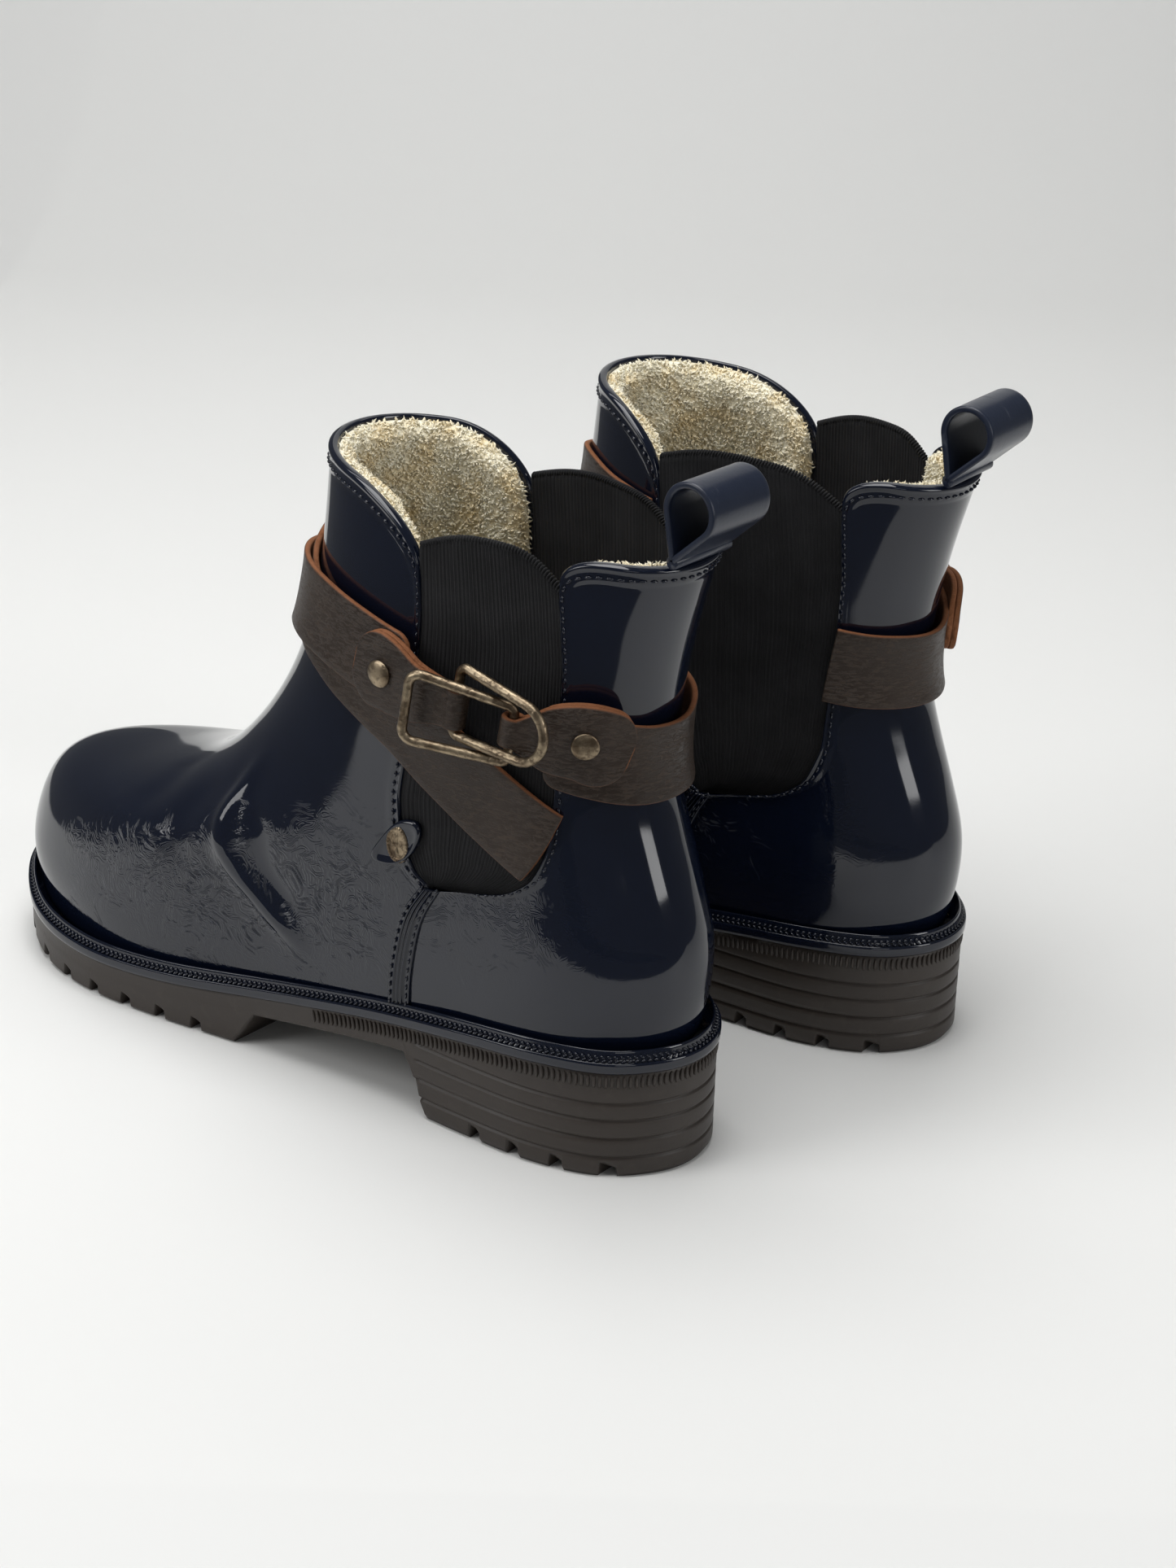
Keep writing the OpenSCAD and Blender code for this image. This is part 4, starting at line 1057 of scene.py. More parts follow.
def folds(points):
    """How far the surface lifts at each point; the inner side's folds are weaker."""
    lift = np.zeros(points.shape[:-1])
    for spots, height_, width in FOLDS:
        dense = along(np.array(spots), np.linspace(0, len(spots) - 1, 24))
        for a, weight in ((dense[:, 0], 1), (360 - dense[:, 0], 0.7)):
            d, share = nearest(points, skin(a, dense[:, 1]))
            fade = ease(share / 0.25) * ease((1 - share) / 0.25)
            lift += height_ * weight * fade * np.exp(-(d / width) ** 2)
    return lift


def shell_panel(place, s, t):
    """A closed shell panel with its bead and folds, and where its flow lines show."""
    ss, tt = np.meshgrid(s, t)
    angle, level = place(ss, tt)
    side_gap, top_gap = edge_distances(place, s, t)
    side_gap = np.where(level < GORE_FOOT - 0.01, 9.0, side_gap)
    e = -1.2 * np.log(np.exp(-side_gap / 1.2) + np.exp(-top_gap / 1.2))
    e = np.maximum(np.minimum(e, np.minimum(side_gap, top_gap)), 0)
    normal = outward(angle, level)
    base = skin(angle, level)
    relief = bead(e) + folds(base) * ease((e - 3) / 6)
    outer = base + relief[..., None] * normal
    inner = base - (SHELL - 0.45 * np.exp(-(e / 0.35) ** 2))[..., None] * normal
    # flow lines show on the foot's sides and the quarter, not on the toe, the shaft or a fold
    sides_ = np.exp(-((np.abs(180 - angle % 360) - 88) / 36) ** 2)
    sides_ = sides_ * np.exp(-((level - 0.26) / 0.17) ** 2)
    sides_ = sides_ * (1 - np.clip(np.abs(folds(base)) / 1.2, 0, 1))
    flow_ = np.concatenate([sides_.ravel(), np.zeros(sides_.size)])
    return wall(outer, inner), flow_


# %% The four shell panels
FRONT_ROUND, FRONT_TALL, BACK_ROUND, BACK_TALL = 150, 178, 92, 160
front_s, front_t = spaced(FRONT_ROUND, 0.75), spaced(FRONT_TALL, 1.6, both=False)
back_s, back_t = spaced(BACK_ROUND, 1.3), spaced(BACK_TALL, 2.0, both=False)
for side in SIDES:
    (points, faces), flow_ = shell_panel(front_place, front_s, front_t)
    front = piece("front_shell", side, points, faces, navy_gloss, "gloss_navy",
                  stands_for=("front_upper",), values={"flow": flow_})
    (points, faces), flow_ = shell_panel(back_place, back_s, back_t)
    back = piece("back_shell", side, points, faces, navy_gloss, "gloss_navy",
                 stands_for=("back_upper",), values={"flow": flow_})
print("front panel", len(front.data.polygons), "faces, back panel", len(back.data.polygons))

# %% [markdown]
# ## Moulded stitches and side seams
# A row of stitches follows each panel's edge inside its bead. Each row is a line of places on
# the panel, offset from the edge by a distance in millimetres, and the bead tree fills it. The
# side seam is a strip with three ribs between two more stitch rows.

# %% Stitch rows on the panels
def share_at(place, t, gap, from_right):
    """The share s that lies a distance inside a side edge, for each t."""
    s = np.linspace(0, 1, 240)
    ss, tt = np.meshgrid(s, t)
    steps = np.linalg.norm(np.diff(skin(*place(ss, tt)), axis=1), axis=-1)
    run = np.concatenate([np.zeros((len(t), 1)), np.cumsum(steps, 1)], 1)
    if from_right:
        return 1 - np.array([np.interp(gap, (r[-1] - r)[::-1], 1 - s[::-1]) for r in run])
    return np.array([np.interp(gap, r, s) for r in run])


def border(place, foot, gap, drop):
    """The line round a panel's sides and top, a distance inside its edge."""
    t_up = np.linspace(foot, 1 - drop - 0.012, 60)
    left = share_at(place, t_up, gap, False)
    right_ = share_at(place, t_up, gap, True)
    across_ = np.linspace(left[-1] + 0.012, right_[-1] - 0.012, 60)
    s_all = np.concatenate([left, across_, right_[::-1]])
    t_all = np.concatenate([t_up, np.full(60, 1 - drop), t_up[::-1]])
    angle, level = place(s_all, t_all)
    rise = outward(angle, level)
    return skin(angle, level) + 0.40 * rise, rise


STITCH_INSET, STITCH_FOOT = 3.1, GORE_FOOT + 0.02
front_line = border(front_place, STITCH_FOOT, STITCH_INSET, STITCH_INSET / FRONT_TALL)
back_line = border(back_place, STITCH_FOOT, STITCH_INSET, STITCH_INSET / BACK_TALL)
for side in SIDES:
    stitches = bead_rows("shell_stitches", side, [(*front_line, False), (*back_line, False)],
                         navy_gloss, pitch=3.0, length=2.2, width=0.95, height=1.0)
print("stitches:", len(stitches.data.polygons), "faces a boot")

# %% Side seams
STRIP_HALF, STRIP_ROWS, RIB_HIGH = 4.25, 70, 0.95


def seam_strip(sign):
    """The strip, three ribs with a flat band each side, and its two lines of stitches."""
    t = np.linspace(0.035, GORE_FOOT - 0.006, STRIP_ROWS)
    w = np.linspace(-STRIP_HALF, STRIP_HALF, 41)
    ribs = sum(RIB_HIGH * np.exp(-((w - c) / 0.5) ** 2) for c in (-1.5, 0, 1.5))
    lip = np.clip((STRIP_HALF - np.abs(w)) / 0.5, 0, 1) ** 0.5
    centre = SEAM if sign > 0 else 360 - SEAM
    tt, ww = np.meshgrid(t, w, indexing="ij")
    per_degree = np.linalg.norm(slope_round(centre, 0.2))
    angle = centre + ww / per_degree
    top_ = off_skin(angle, tt, (0.15 + lip * (0.75 + ribs))[None, :] * np.ones_like(tt))
    low_ = off_skin(angle, tt, np.full_like(tt, -0.4))
    rows = []
    for offset in (-STITCH_INSET, STITCH_INSET):
        a = np.full(STRIP_ROWS, centre + offset / per_degree)
        rise = outward(a, t)
        rows.append((skin(a, t) + 1.0 * rise, rise, False))
    return wall(top_, low_), rows


for side in SIDES:
    for sign, label in ((1, "outer"), (-1, "inner")):
        (points, faces), rows = seam_strip(sign)
        piece(f"seam_strip_{label}", side, points, faces, navy_gloss, "gloss_navy",
              stands_for=(f"side_seam_{label}",), values={"flow": np.zeros(len(points))})
        bead_rows(f"seam_stitches_{label}", side, rows, navy_gloss,
                  pitch=3.0, length=2.2, width=0.9, height=0.95)
print("seam strips done")

# %% [markdown]
# ## Elastic gores
# A gore is woven with heavy ribs that run up the leg. The panel starts as a smooth closed sheet
# and a second tree raises the ribs: it moves each point out by a wave of its own across
# position. Its top edge is bound with an overlock stitch, which is a dense row of beads.

# %% Rib tree and gore panels
def rib_tree():
    tree, ids = tree_named("woven_ribs", ("Pitch", "Float", 0.0016), ("Height", "Float", 0.0003),
                           ("Finish", "Material", None))
    given = tree.nodes.new("NodeGroupInput").outputs
    spread_ = add(tree, "GeometryNodeInputNamedAttribute", {"data_type": "FLOAT_VECTOR"},
                  Name="spread")
    parts = add(tree, "ShaderNodeSeparateXYZ", Vector=spread_.outputs[0])
    turns = add(tree, "ShaderNodeMath", {"operation": "DIVIDE"}, _0=parts.outputs[0],
                _1=given["Pitch"])
    phase = add(tree, "ShaderNodeMath", {"operation": "MULTIPLY"}, _0=turns.outputs[0],
                _1=2 * math.pi)
    swing = add(tree, "ShaderNodeMath", {"operation": "COSINE"}, _0=phase.outputs[0])
    lift = add(tree, "ShaderNodeMath", {"operation": "MULTIPLY"}, _0=swing.outputs[0],
               _1=given["Height"])
    facing = tree.nodes.new("GeometryNodeInputNormal")
    push = add(tree, "ShaderNodeVectorMath", {"operation": "SCALE"}, Vector=facing.outputs[0],
               Scale=lift.outputs[0])
    moved = add(tree, "GeometryNodeSetPosition", Geometry=given[0], Offset=push.outputs[0])
    done = add(tree, "GeometryNodeSetMaterial", Geometry=moved.outputs[0], Material=given["Finish"])
    tree.links.new(done.outputs[0], tree.nodes.new("NodeGroupOutput").inputs[0])
    return tree, ids


RIBS, RIB_IDS = rib_tree()


def gore_place(sign, s, t):
    """Angle and level on a gore, from its rear edge to its front edge; its top is a soft wave."""
    top_ = 0.955 + 0.035 * np.sin(math.pi * (1 - s)) + 0.012 * np.exp(-((s - 0.22) / 0.2) ** 2)
    level = mix(GORE_FOOT - 0.008, top_, t)
    a = mix(edge_angle(level, REAR_EDGE) - 0.4, edge_angle(level, FRONT_EDGE[sign]) + 0.4, s)
    return (a if sign > 0 else 360 - a), level


GORE_FACE, GORE_BACK, GORE_HOLLOW = -0.35, -2.0, 0.7     # off the last; it pulls in between
GORE_MIDDLE = 40                                         # the row where its width is measured
for side in SIDES:
    for sign, label in ((1, "outer"), (-1, "inner")):
        ss, tt = np.meshgrid(np.linspace(0, 1, 141), np.linspace(0, 1, 70))
        angle, level = gore_place(sign, ss, tt)
        hollow = GORE_HOLLOW * np.sin(math.pi * ss) * np.sin(math.pi * tt) ** 0.6
        outer = off_skin(angle, level, GORE_FACE - hollow)
        points, faces = wall(outer, off_skin(angle, level, GORE_BACK - hollow))
        # the weave's own coordinates: metres across from the middle, and metres up
        width = np.linalg.norm(np.diff(outer[GORE_MIDDLE], axis=0), axis=-1).sum()
        spread_ = np.stack([(ss - 0.5) * width, level * FRONT_TALL, np.zeros_like(ss)], -1)
        spread_ = spread_.reshape(-1, 3) * MM
        base = bpy.data.meshes.new("gore_base")
        base.from_pydata(stand(side, points).tolist(), [], faces)
        base.attributes.new("spread", "FLOAT_VECTOR", "POINT").data.foreach_set(
            "vector", np.concatenate([spread_, spread_]).astype(np.float32).ravel())
        faces_outward(base)
        gore = grown(f"{side}_gore_panel_{label}", base, RIBS, RIB_IDS, black_elastic,
                     Pitch=0.00125, Height=0.00022)
        settle(gore, side, "boot", (f"gore_{label}",))
        angle, level = gore_place(sign, np.linspace(0.01, 0.99, 60), np.ones(60))
        rise = outward(angle, level)
        bind = off_skin(angle, level + 0.001, np.full(60, -1.25))
        bead_rows(f"gore_overlock_{label}", side, [(bind, rise, False)], black_elastic,
                  pitch=0.95, length=0.95, width=2.2, height=2.7, skew=0.25)
print("gore panel", len(gore.data.polygons), "faces")

# %% [markdown]
# ## Fleece lining
# The lining is a thick pile glued inside both panels. Its body is a lumpy closed sheet. Over the
# part that shows, a third tree scatters short curved locks of wool: points spread over the faces
# with a fixed seed, and one small tapered lock stands on each, tilted and scaled at random. The
# locks are few-sided, because there are thousands of them.

# %% Lock of wool and scatter tree
LOCK_THICK, LOCK_CURL = 0.42, 0.75


def lock_mesh():
    """A short curled lock 1 unit tall: three rings of three points and a tip."""
    points, faces = [], []
    for k in range(3):
        u = k / 3
        r = LOCK_THICK * (1 - 0.5 * u)
        for a in range(3):
            points.append((r * math.cos(2.1 * a) + LOCK_CURL * u * u,
                           r * math.sin(2.1 * a) + 0.15 * u, u))
    points.append((0.95, 0.15, 0.86))
    for k in range(2):
        for a in range(3):
            b = (a + 1) % 3
            faces.append((3 * k + a, 3 * k + b, 3 * k + 3 + b, 3 * k + 3 + a))
    faces += [(6, 7, 9), (7, 8, 9), (8, 6, 9), (2, 1, 0)]
    mesh = bpy.data.meshes.new("wool_lock")
    mesh.from_pydata(points, [], faces)
    shade_smooth(mesh)
    return bpy.data.objects.new("wool_lock", mesh)


def pile_tree():
    tree, ids = tree_named("wool_pile", ("Density", "Float", 800000.0), ("Lock", "Object", None),
                           ("Tall", "Float", 0.003), ("Seed", "Int", 7),
                           ("Finish", "Material", None))
    given = tree.nodes.new("NodeGroupInput").outputs
    where = add(tree, "GeometryNodeInputNamedAttribute", {"data_type": "FLOAT"}, Name="pile")
    much = add(tree, "ShaderNodeMath", {"operation": "MULTIPLY"}, _0=where.outputs[0],
               _1=given["Density"])
    spots = add(tree, "GeometryNodeDistributePointsOnFaces", {"distribute_method": "RANDOM"},
                Mesh=given[0], Density=much.outputs[0], Seed=given["Seed"])
    lock = add(tree, "GeometryNodeObjectInfo", Object=given["Lock"])
    turn = add(tree, "FunctionNodeRandomValue", {"data_type": "FLOAT_VECTOR"},
               _0=(-0.75, -0.75, 0.0), _1=(0.75, 0.75, 6.28), Seed=3)
    lean = add(tree, "FunctionNodeRotateRotation", {"rotation_space": "LOCAL"},
               Rotation=spots.outputs["Rotation"], Rotate_By=turn.outputs[0])
    size = add(tree, "FunctionNodeRandomValue", {"data_type": "FLOAT"}, _2=0.55, _3=1.15, Seed=5)
    tall = add(tree, "ShaderNodeMath", {"operation": "MULTIPLY"}, _0=size.outputs[1],
               _1=given["Tall"])
    many = add(tree, "GeometryNodeInstanceOnPoints", Points=spots.outputs[0],
               Instance=lock.outputs["Geometry"], Rotation=lean.outputs[0], Scale=tall.outputs[0])
    real = add(tree, "GeometryNodeRealizeInstances", Geometry=many.outputs[0])
    done = add(tree, "GeometryNodeSetMaterial", Geometry=real.outputs[0], Material=given["Finish"])
    tree.links.new(done.outputs[0], tree.nodes.new("NodeGroupOutput").inputs[0])
    return tree, ids


PILE, PILE_IDS = pile_tree()
LOCK = lock_mesh()
rng = np.random.default_rng(11)
waves = rng.normal(0, 1, (26, 3)) * 0.16
phases = rng.uniform(0, 2 * math.pi, 26)


def lumps(points):
    """Soft lumps in a pile, from a sum of seeded waves."""
    return np.sin(points @ waves.T + phases).sum(-1) / 5


LINING_ROWS, LINING_EDGE, LINING_TALL, GLUE = 64, 3.5, 170, 0.25
PILE_FROM, PILE_OVER = 0.66, 0.14     # levels: the locks start below what shows, and thicken


def lining_sheet(place, columns, top):
    """A lumpy closed sheet with rounded edges, and how thick its locks stand at each point."""
    t = np.concatenate([np.linspace(0.05, 0.93, LINING_ROWS), [0.955, 0.975, 0.99, 1]])
    ss, tt = np.meshgrid(np.linspace(0, 1, columns), t)
    angle, level = place(ss, tt, top, 1.5)
    near, normal = skin(angle, level), outward(angle, level)
    edge_gap = np.minimum(np.minimum(ss, 1 - ss) * columns * 1.5, (1 - tt) * LINING_TALL)
    round_ = np.sqrt(np.clip(1 - (1 - np.clip(edge_gap / LINING_EDGE, 0, 1)) ** 2, 0, 1))
    depth = SHELL + 1.6 + (LINING - 2.4) * round_ + lumps(near) * round_
    pile_ = ease((level - PILE_FROM) / PILE_OVER).ravel()
    return (wall(near - (SHELL + GLUE) * normal, near - depth[..., None] * normal),
            np.concatenate([0 * pile_, pile_]))     # none on the side that is glued to the shell


for side in SIDES:
    for place, columns, top, name, node, seed in (
            (front_place, 90, 0.995, "fleece_front", "lining_front", 3),
            (back_place, 64, 1.012, "fleece_back", "lining_back", 8)):
        (points, faces), pile_ = lining_sheet(place, columns, top)
        body = piece(name, side, points, faces, cream_fleece, "fleece", stands_for=(node,),
                     values={"pile": pile_}, weld=0)
        wool = grown(f"{side}_{name}_wool", body.data.copy(), PILE, PILE_IDS, cream_fleece,
                     Density=1700000.0, Lock=LOCK, Tall=0.0013, Seed=seed)
        settle(wool, side, "boot")
print("wool:", len(wool.data.polygons), "faces on a back lining")

# %% [markdown]
# ## Leather straps
# Each strap is a flat band laid on the last: its middle line is a list of angle, level and
# height off the shell. Its section is a rounded rectangle, so the cut edges can show raw suede.
# Old straps aren't flat, so the band waves by a few tenths of a millimetre and its edges curl.

# %% Straps
STRAP_WIDTH, STRAP_STEPS, CORNER = 24, 230, 5.0
STRAPS = {     # each place is (angle, level, height off the last)
    "strap_front": [(251, .67, 2.8), (235, .70, 2.8), (215, .75, 2.8), (195, .79, 3.2),
                    (175, .81, 3.4), (155, .82, 3.2), (135, .82, 2.8), (115, .81, 2.8),
                    (90, .785, 2.8)],
    "strap_cross": [(251, .85, .5), (235, .86, .5), (215, .87, .5), (195, .86, .5),
                    (175, .845, .5), (155, .825, .5), (135, .805, .5), (115, .775, .5),
                    (90, .718, .6), (70, .637, .6), (43, .512, .6)],
    "strap_back": [(318, .70, 1.4), (335, .685, 2), (352, .675, 3), (369, .675, 2.3),
                   (386, .695, 1.4), (403, .72, 1.4)]}


def flat_section(half, thick, across_count=13):
    """A rounded rectangle as (across, height, raw) stations, along its top and back below."""
    w = np.linspace(-1, 1, across_count)
    c = w * (half - 0.45)
    front_ = [(x, thick, 0.0) for x in c]
    back_ = [(x, 0.0, 1.0) for x in c[::-1]]
    turn_right = [(half - 0.15, thick - 0.12, 0.35), (half, thick - 0.5, 1.0), (half, 0.5, 1.0),
                  (half - 0.15, 0.12, 1.0)]
    turn_left = [(-x, z, raw_) for x, z, raw_ in turn_right[::-1]]
    return np.array(front_ + turn_right + back_ + turn_left)


def beside(a, v, da, dv, shift):
    """The place beside a strap's middle line, moved across it along the surface."""
    sr, su, n = slope_round(a, v), slope_up(a, v), outward(a, v)
    run = unit(sr * da[..., None] + su * dv[..., None])
    side_ = np.cross(run, n) * shift[..., None]
    g11, g12, g22 = (sr * sr).sum(-1), (sr * su).sum(-1), (su * su).sum(-1)
    det = g11 * g22 - g12 * g12
    r1, r2 = (side_ * sr).sum(-1), (side_ * su).sum(-1)
    return a + (r1 * g22 - r2 * g12) / det, v + (r2 * g11 - r1 * g12) / det


def corner_cut(to_end, radius):
    """How much half width a rounded end takes off, at a distance from the end."""
    k = np.clip(1 - to_end / radius, 0, 1)
    return radius * (1 - np.sqrt(np.maximum(0, 1 - k * k)))


def strap_mesh(line, rounded, seed):
    """A strap along its line, and where its leather is raw; rounded is for its last end."""
    line, last = np.array(line, float), len(line) - 1
    u = np.linspace(0, last, STRAP_STEPS)
    mid = along(line, u)
    ahead = along(line, np.clip(u + 0.05, 0, last)) - along(line, np.clip(u - 0.05, 0, last))
    centre = off_skin(mid[:, 0], mid[:, 1], mid[:, 2])
    run_ = np.concatenate([[0], np.cumsum(np.linalg.norm(np.diff(centre, axis=0), axis=-1))])
    section = flat_section(STRAP_WIDTH / 2, LEATHER)
    cut = corner_cut(run_[-1] - run_, CORNER) * rounded
    shift = section[None, :, 0] * (1 - cut / (STRAP_WIDTH / 2))[:, None]
    full = lambda x: np.repeat(x[:, None], len(section), 1)
    a, v = beside(full(mid[:, 0]), full(mid[:, 1]), full(ahead[:, 0]), full(ahead[:, 1]), shift)
    sway = 0.064 * np.sin(run_ / 7.0 + seed) + 0.048 * np.sin(run_ / 3.1 + 2 * seed)
    curl = 0.22 * (np.abs(section[:, 0]) / (STRAP_WIDTH / 2)) ** 4
    lift = full(mid[:, 2]) + section[None, :, 1] + curl[None, :] + sway[:, None]
    points, faces = loft(off_skin(a, v, lift))
    return points, faces, np.tile(section[:, 2], STRAP_STEPS)


for side in SIDES:
    for seed, (name, line) in enumerate(STRAPS.items()):
        points, faces, raw_ = strap_mesh(line, name != "strap_cross", seed)
        strap = piece(name + "_hide", side, points, faces, brown_leather, "strap_leather",
                      stands_for=(name,), values={"raw": raw_})
print("strap", len(strap.data.polygons), "faces")

# %% [markdown]
# ## The buckle's place
# The buckle has its own frame: along the strap, up, and out from the leg. The links and tabs are
# drawn in that frame and carried to the boot.

# %% Buckle frame
OVERLAP, LINK_LENGTH, LINK_WIDE, LINK_NARROW, PLAY = 18, 31, 21, 17, 0.25
buckle_front = ring_point(84.7, 0.775)
buckle_back = ring_point(40.6, 0.735)
b_along = unit(buckle_back - buckle_front)
b_out = unit(np.array([b_along[1], -b_along[0], 0]))
b_up = np.cross(b_out, b_along)
# strap and tab lie under a bar, each with a small gap
BAR_HEIGHT = 0.4 + LEATHER + 0.6 + WIRE / 2 + PLAY + LEATHER + 0.2
b_centre = (buckle_front + buckle_back) / 2 + b_out * BAR_HEIGHT


def at_buckle(points):
    """Carries (along, up, out) points from the buckle's frame to the boot's."""
    p = np.asarray(points, float)
    return b_centre + p[..., :1] * b_along + p[..., 1:2] * b_up + p[..., 2:] * b_out


print("buckle centre", np.round(b_centre, 2), "mm in the boot's frame")

# %% [markdown]
# ## Links of bent wire
# A link is one closed loop of 3 mm wire: a straight bar that the leather holds, two long sides
# and a free end. The path is made of straights and bends, then read off at even steps so the
# rings of the tube are even. A slight lumpiness is the hammering.

# %% Wire links
LINK_RINGS, BAR_BEND, CORNER_BEND, HAMMERED = 200, 2.2, 3.5, 0.035


def bend(centre, radius, start, stop, steps):
    a = np.radians(np.linspace(start, stop, steps))
    return np.stack([centre[0] + radius * np.cos(a), centre[1] + radius * np.sin(a)], -1)


def link_path(bar_width, end_width, round_end):
    """Even points round a link's middle line, from the middle of its bar."""
    taper = math.degrees(math.atan2((end_width - bar_width) / 2, LINK_LENGTH))
    turn = 90 + taper
    half_turn = math.tan(math.radians(turn / 2))
    bar_end = bar_width / 2 - BAR_BEND * math.tan(math.radians((180 - turn) / 2))
    end_bend = end_width / 2 / half_turn - 0.05 if round_end else CORNER_BEND
    end_y = end_width / 2 - end_bend * half_turn
    half = np.concatenate([[(0, 0)], bend((BAR_BEND, bar_end), BAR_BEND, 180, turn, 12),
                           bend((LINK_LENGTH - end_bend, end_y), end_bend, turn, 0, 20)])
    whole = np.concatenate([half, half[::-1] * (1, -1)])[:-1]
    closed_ = np.concatenate([whole, whole[:1]])
    run_ = np.concatenate([[0], np.cumsum(np.linalg.norm(np.diff(closed_, axis=0), axis=-1))])
    at_ = np.arange(LINK_RINGS) * run_[-1] / LINK_RINGS
    return np.stack([np.interp(at_, run_, closed_[:, i]) for i in (0, 1)], -1)


def tube(path, radius, lump, sides=16):
    """Rings of a closed round tube along a flat path, dented by the share lump."""
    ahead = unit(np.roll(path, -1, 0) - np.roll(path, 1, 0))
    across_ = np.stack([ahead[:, 1], -ahead[:, 0]], -1)
    a = np.linspace(0, 2 * math.pi, sides, endpoint=False)
    i = np.arange(len(path))[:, None]
    dents = np.sin(i * 0.55 + 2 * a + np.sin(i * 0.21) * 2) * np.cos(i * 0.37)
    r = radius * (1 - lump + lump * dents)
    flat = path[:, None, :] + across_[:, None, :] * (r * np.cos(a))[..., None]
    return np.concatenate([flat, (r * np.sin(a))[..., None]], -1)


def turned(points, about_y):
    c, s = math.cos(about_y), math.sin(about_y)
    x, y, z = points[..., 0], points[..., 1], points[..., 2]
    return np.stack([x * c + z * s, y, -x * s + z * c], -1)


TILT = math.asin((WIRE + 0.3) / OVERLAP)
SHIFT = (WIRE + 0.3 + (LINK_WIDE - LINK_NARROW) / 4) / 2
RADIUS = WIRE / 2 - 0.02
front_ring = tube(link_path(LINK_NARROW, LINK_WIDE, False), RADIUS, HAMMERED) * (-1, -1, 1)
back_ring = tube(link_path(LINK_WIDE, LINK_NARROW - 1, True), RADIUS, HAMMERED)
front_ring = turned(front_ring, TILT) + (OVERLAP / 2, -SHIFT, 0)
back_ring = turned(back_ring, -TILT) + (-OVERLAP / 2, SHIFT, 0)
for side in SIDES:
    for name, ring in (("link_front", front_ring), ("link_back", back_ring)):
        points, faces = loft(at_buckle(ring), closed=True)
        link = piece(name + "_wire", side, points, faces, antique_brass, "antique_brass",
                     body=name, stands_for=(name,))
print("link", len(link.data.polygons), "faces")

# %% [markdown]
# ## Doubled tabs
# A tab is one strip of leather, folded round a link's bar and riveted to itself. So it is made as
# one strip: under layer, loop, upper layer. The layers lie 0.1 mm apart, and the cut edges of both
# show as two orange lines.

# %% Folded tabs
TAB_LIFT, BACK_LIFT, TAB_WIDTH, TAB_TAPER, TAB_ROUND = 4.9, 3.7, 23, 4.5, 8.5
LAYER_OUT = 0.95            # a layer's middle, off the middle of the two
WRAP, CLEAR = 2.65, 5.6     # off the bar: the loop's middle, and where the flat layers stop
WRAP_STEPS = 26


def folded_tab(spots, lift, bar_u, edges_, toward):
    """Rings of the folded strip and where it is raw; toward is the way that its loop faces."""
    low, high = edges_
    mid_t, loop_half = (low + high) / 2, (high - low) / 2
    bar = at_buckle(np.array([bar_u, mid_t, 0.0]))
    root = at_buckle(np.array([bar_u - toward * WRAP, mid_t, 0.0]))
    places = np.array([off_skin(a, v, lift + LEATHER) for a, v in spots] + [root])
    outs = np.array([outward(a, v) for a, v in spots] + [b_out])
    widths = np.array([TAB_WIDTH, TAB_WIDTH, TAB_WIDTH - TAB_TAPER, 2 * loop_half])
    u = np.linspace(0, 3, 120)
    c, out = along(places, u), unit(along(outs, u))
    keep = np.linalg.norm(c - bar, axis=-1) > CLEAR
    c, out, w = c[keep], out[keep], along(widths, u)[keep]
    run_ = np.concatenate([[0], np.cumsum(np.linalg.norm(np.diff(c, axis=0), axis=-1))])
    half = w / 2 - corner_cut(run_, TAB_ROUND) * 0.98
    ahead = unit(np.gradient(c, axis=0))
    across_ = unit(np.cross(ahead, out))
    reach = np.radians(np.linspace(-128, 128, WRAP_STEPS))
    e_dir = b_along * toward
    e_across = unit(np.cross(e_dir, b_out))
    wrap = np.cos(reach)[:, None] * e_dir + np.sin(reach)[:, None] * b_out
    centres = np.concatenate([c - LAYER_OUT * out, bar + WRAP * wrap, (c + LAYER_OUT * out)[::-1]])
    facing = np.concatenate([-out, wrap, out[::-1]])
    sideways = np.concatenate([across_, np.tile(e_across, (WRAP_STEPS, 1)), across_[::-1]])
    halves = np.concatenate([half, np.full(WRAP_STEPS, loop_half), half[::-1]])
    raws = np.zeros(len(centres))
    raws[:len(c)] = raws[-1] = 1     # the under layer shows its back, and the last end is cut
    rings, raw_ = [], []
    for middle, aside, face, half_, bare in zip(centres, sideways, facing, halves, raws):
        section = flat_section(max(half_, 0.9), LEATHER)
        rings.append(middle + aside * section[:, :1] + face * (section[:, 1:2] - LEATHER / 2))
        raw_.append(np.maximum(section[:, 2], bare))
    return np.array(rings), np.concatenate(raw_)


TABS = {     # places of the flat part, lift, place of the bar, edges of the loop, way it faces
    "tab_front": ([(104, .80), (95, .79), (86, .775)], TAB_LIFT, -OVERLAP / 2, (-6, 5.8), 1),
    "tab_back": ([(19, .71), (32.5, .74), (44, .74)], BACK_LIFT, OVERLAP / 2, (-4.8, 3.9), -1)}
for side in SIDES:
    for name, plan in TABS.items():
        rings, raw_ = folded_tab(*plan)
        points, faces = loft(rings)
        tab = piece(name + "_fold", side, points, faces, brown_leather, "strap_leather",
                    stands_for=(name,), values={"raw": raw_})
print("tab", len(tab.data.polygons), "faces")

# %% [markdown]
# ## Rivets and badge
# A rivet's head is a low dome with a rolled edge, turned from one profile. The badge on the small
# side tab is an oval of the same brass. Its relief is a plain rope border round a four-petal
# flower, which stands in for whatever such a badge would show.

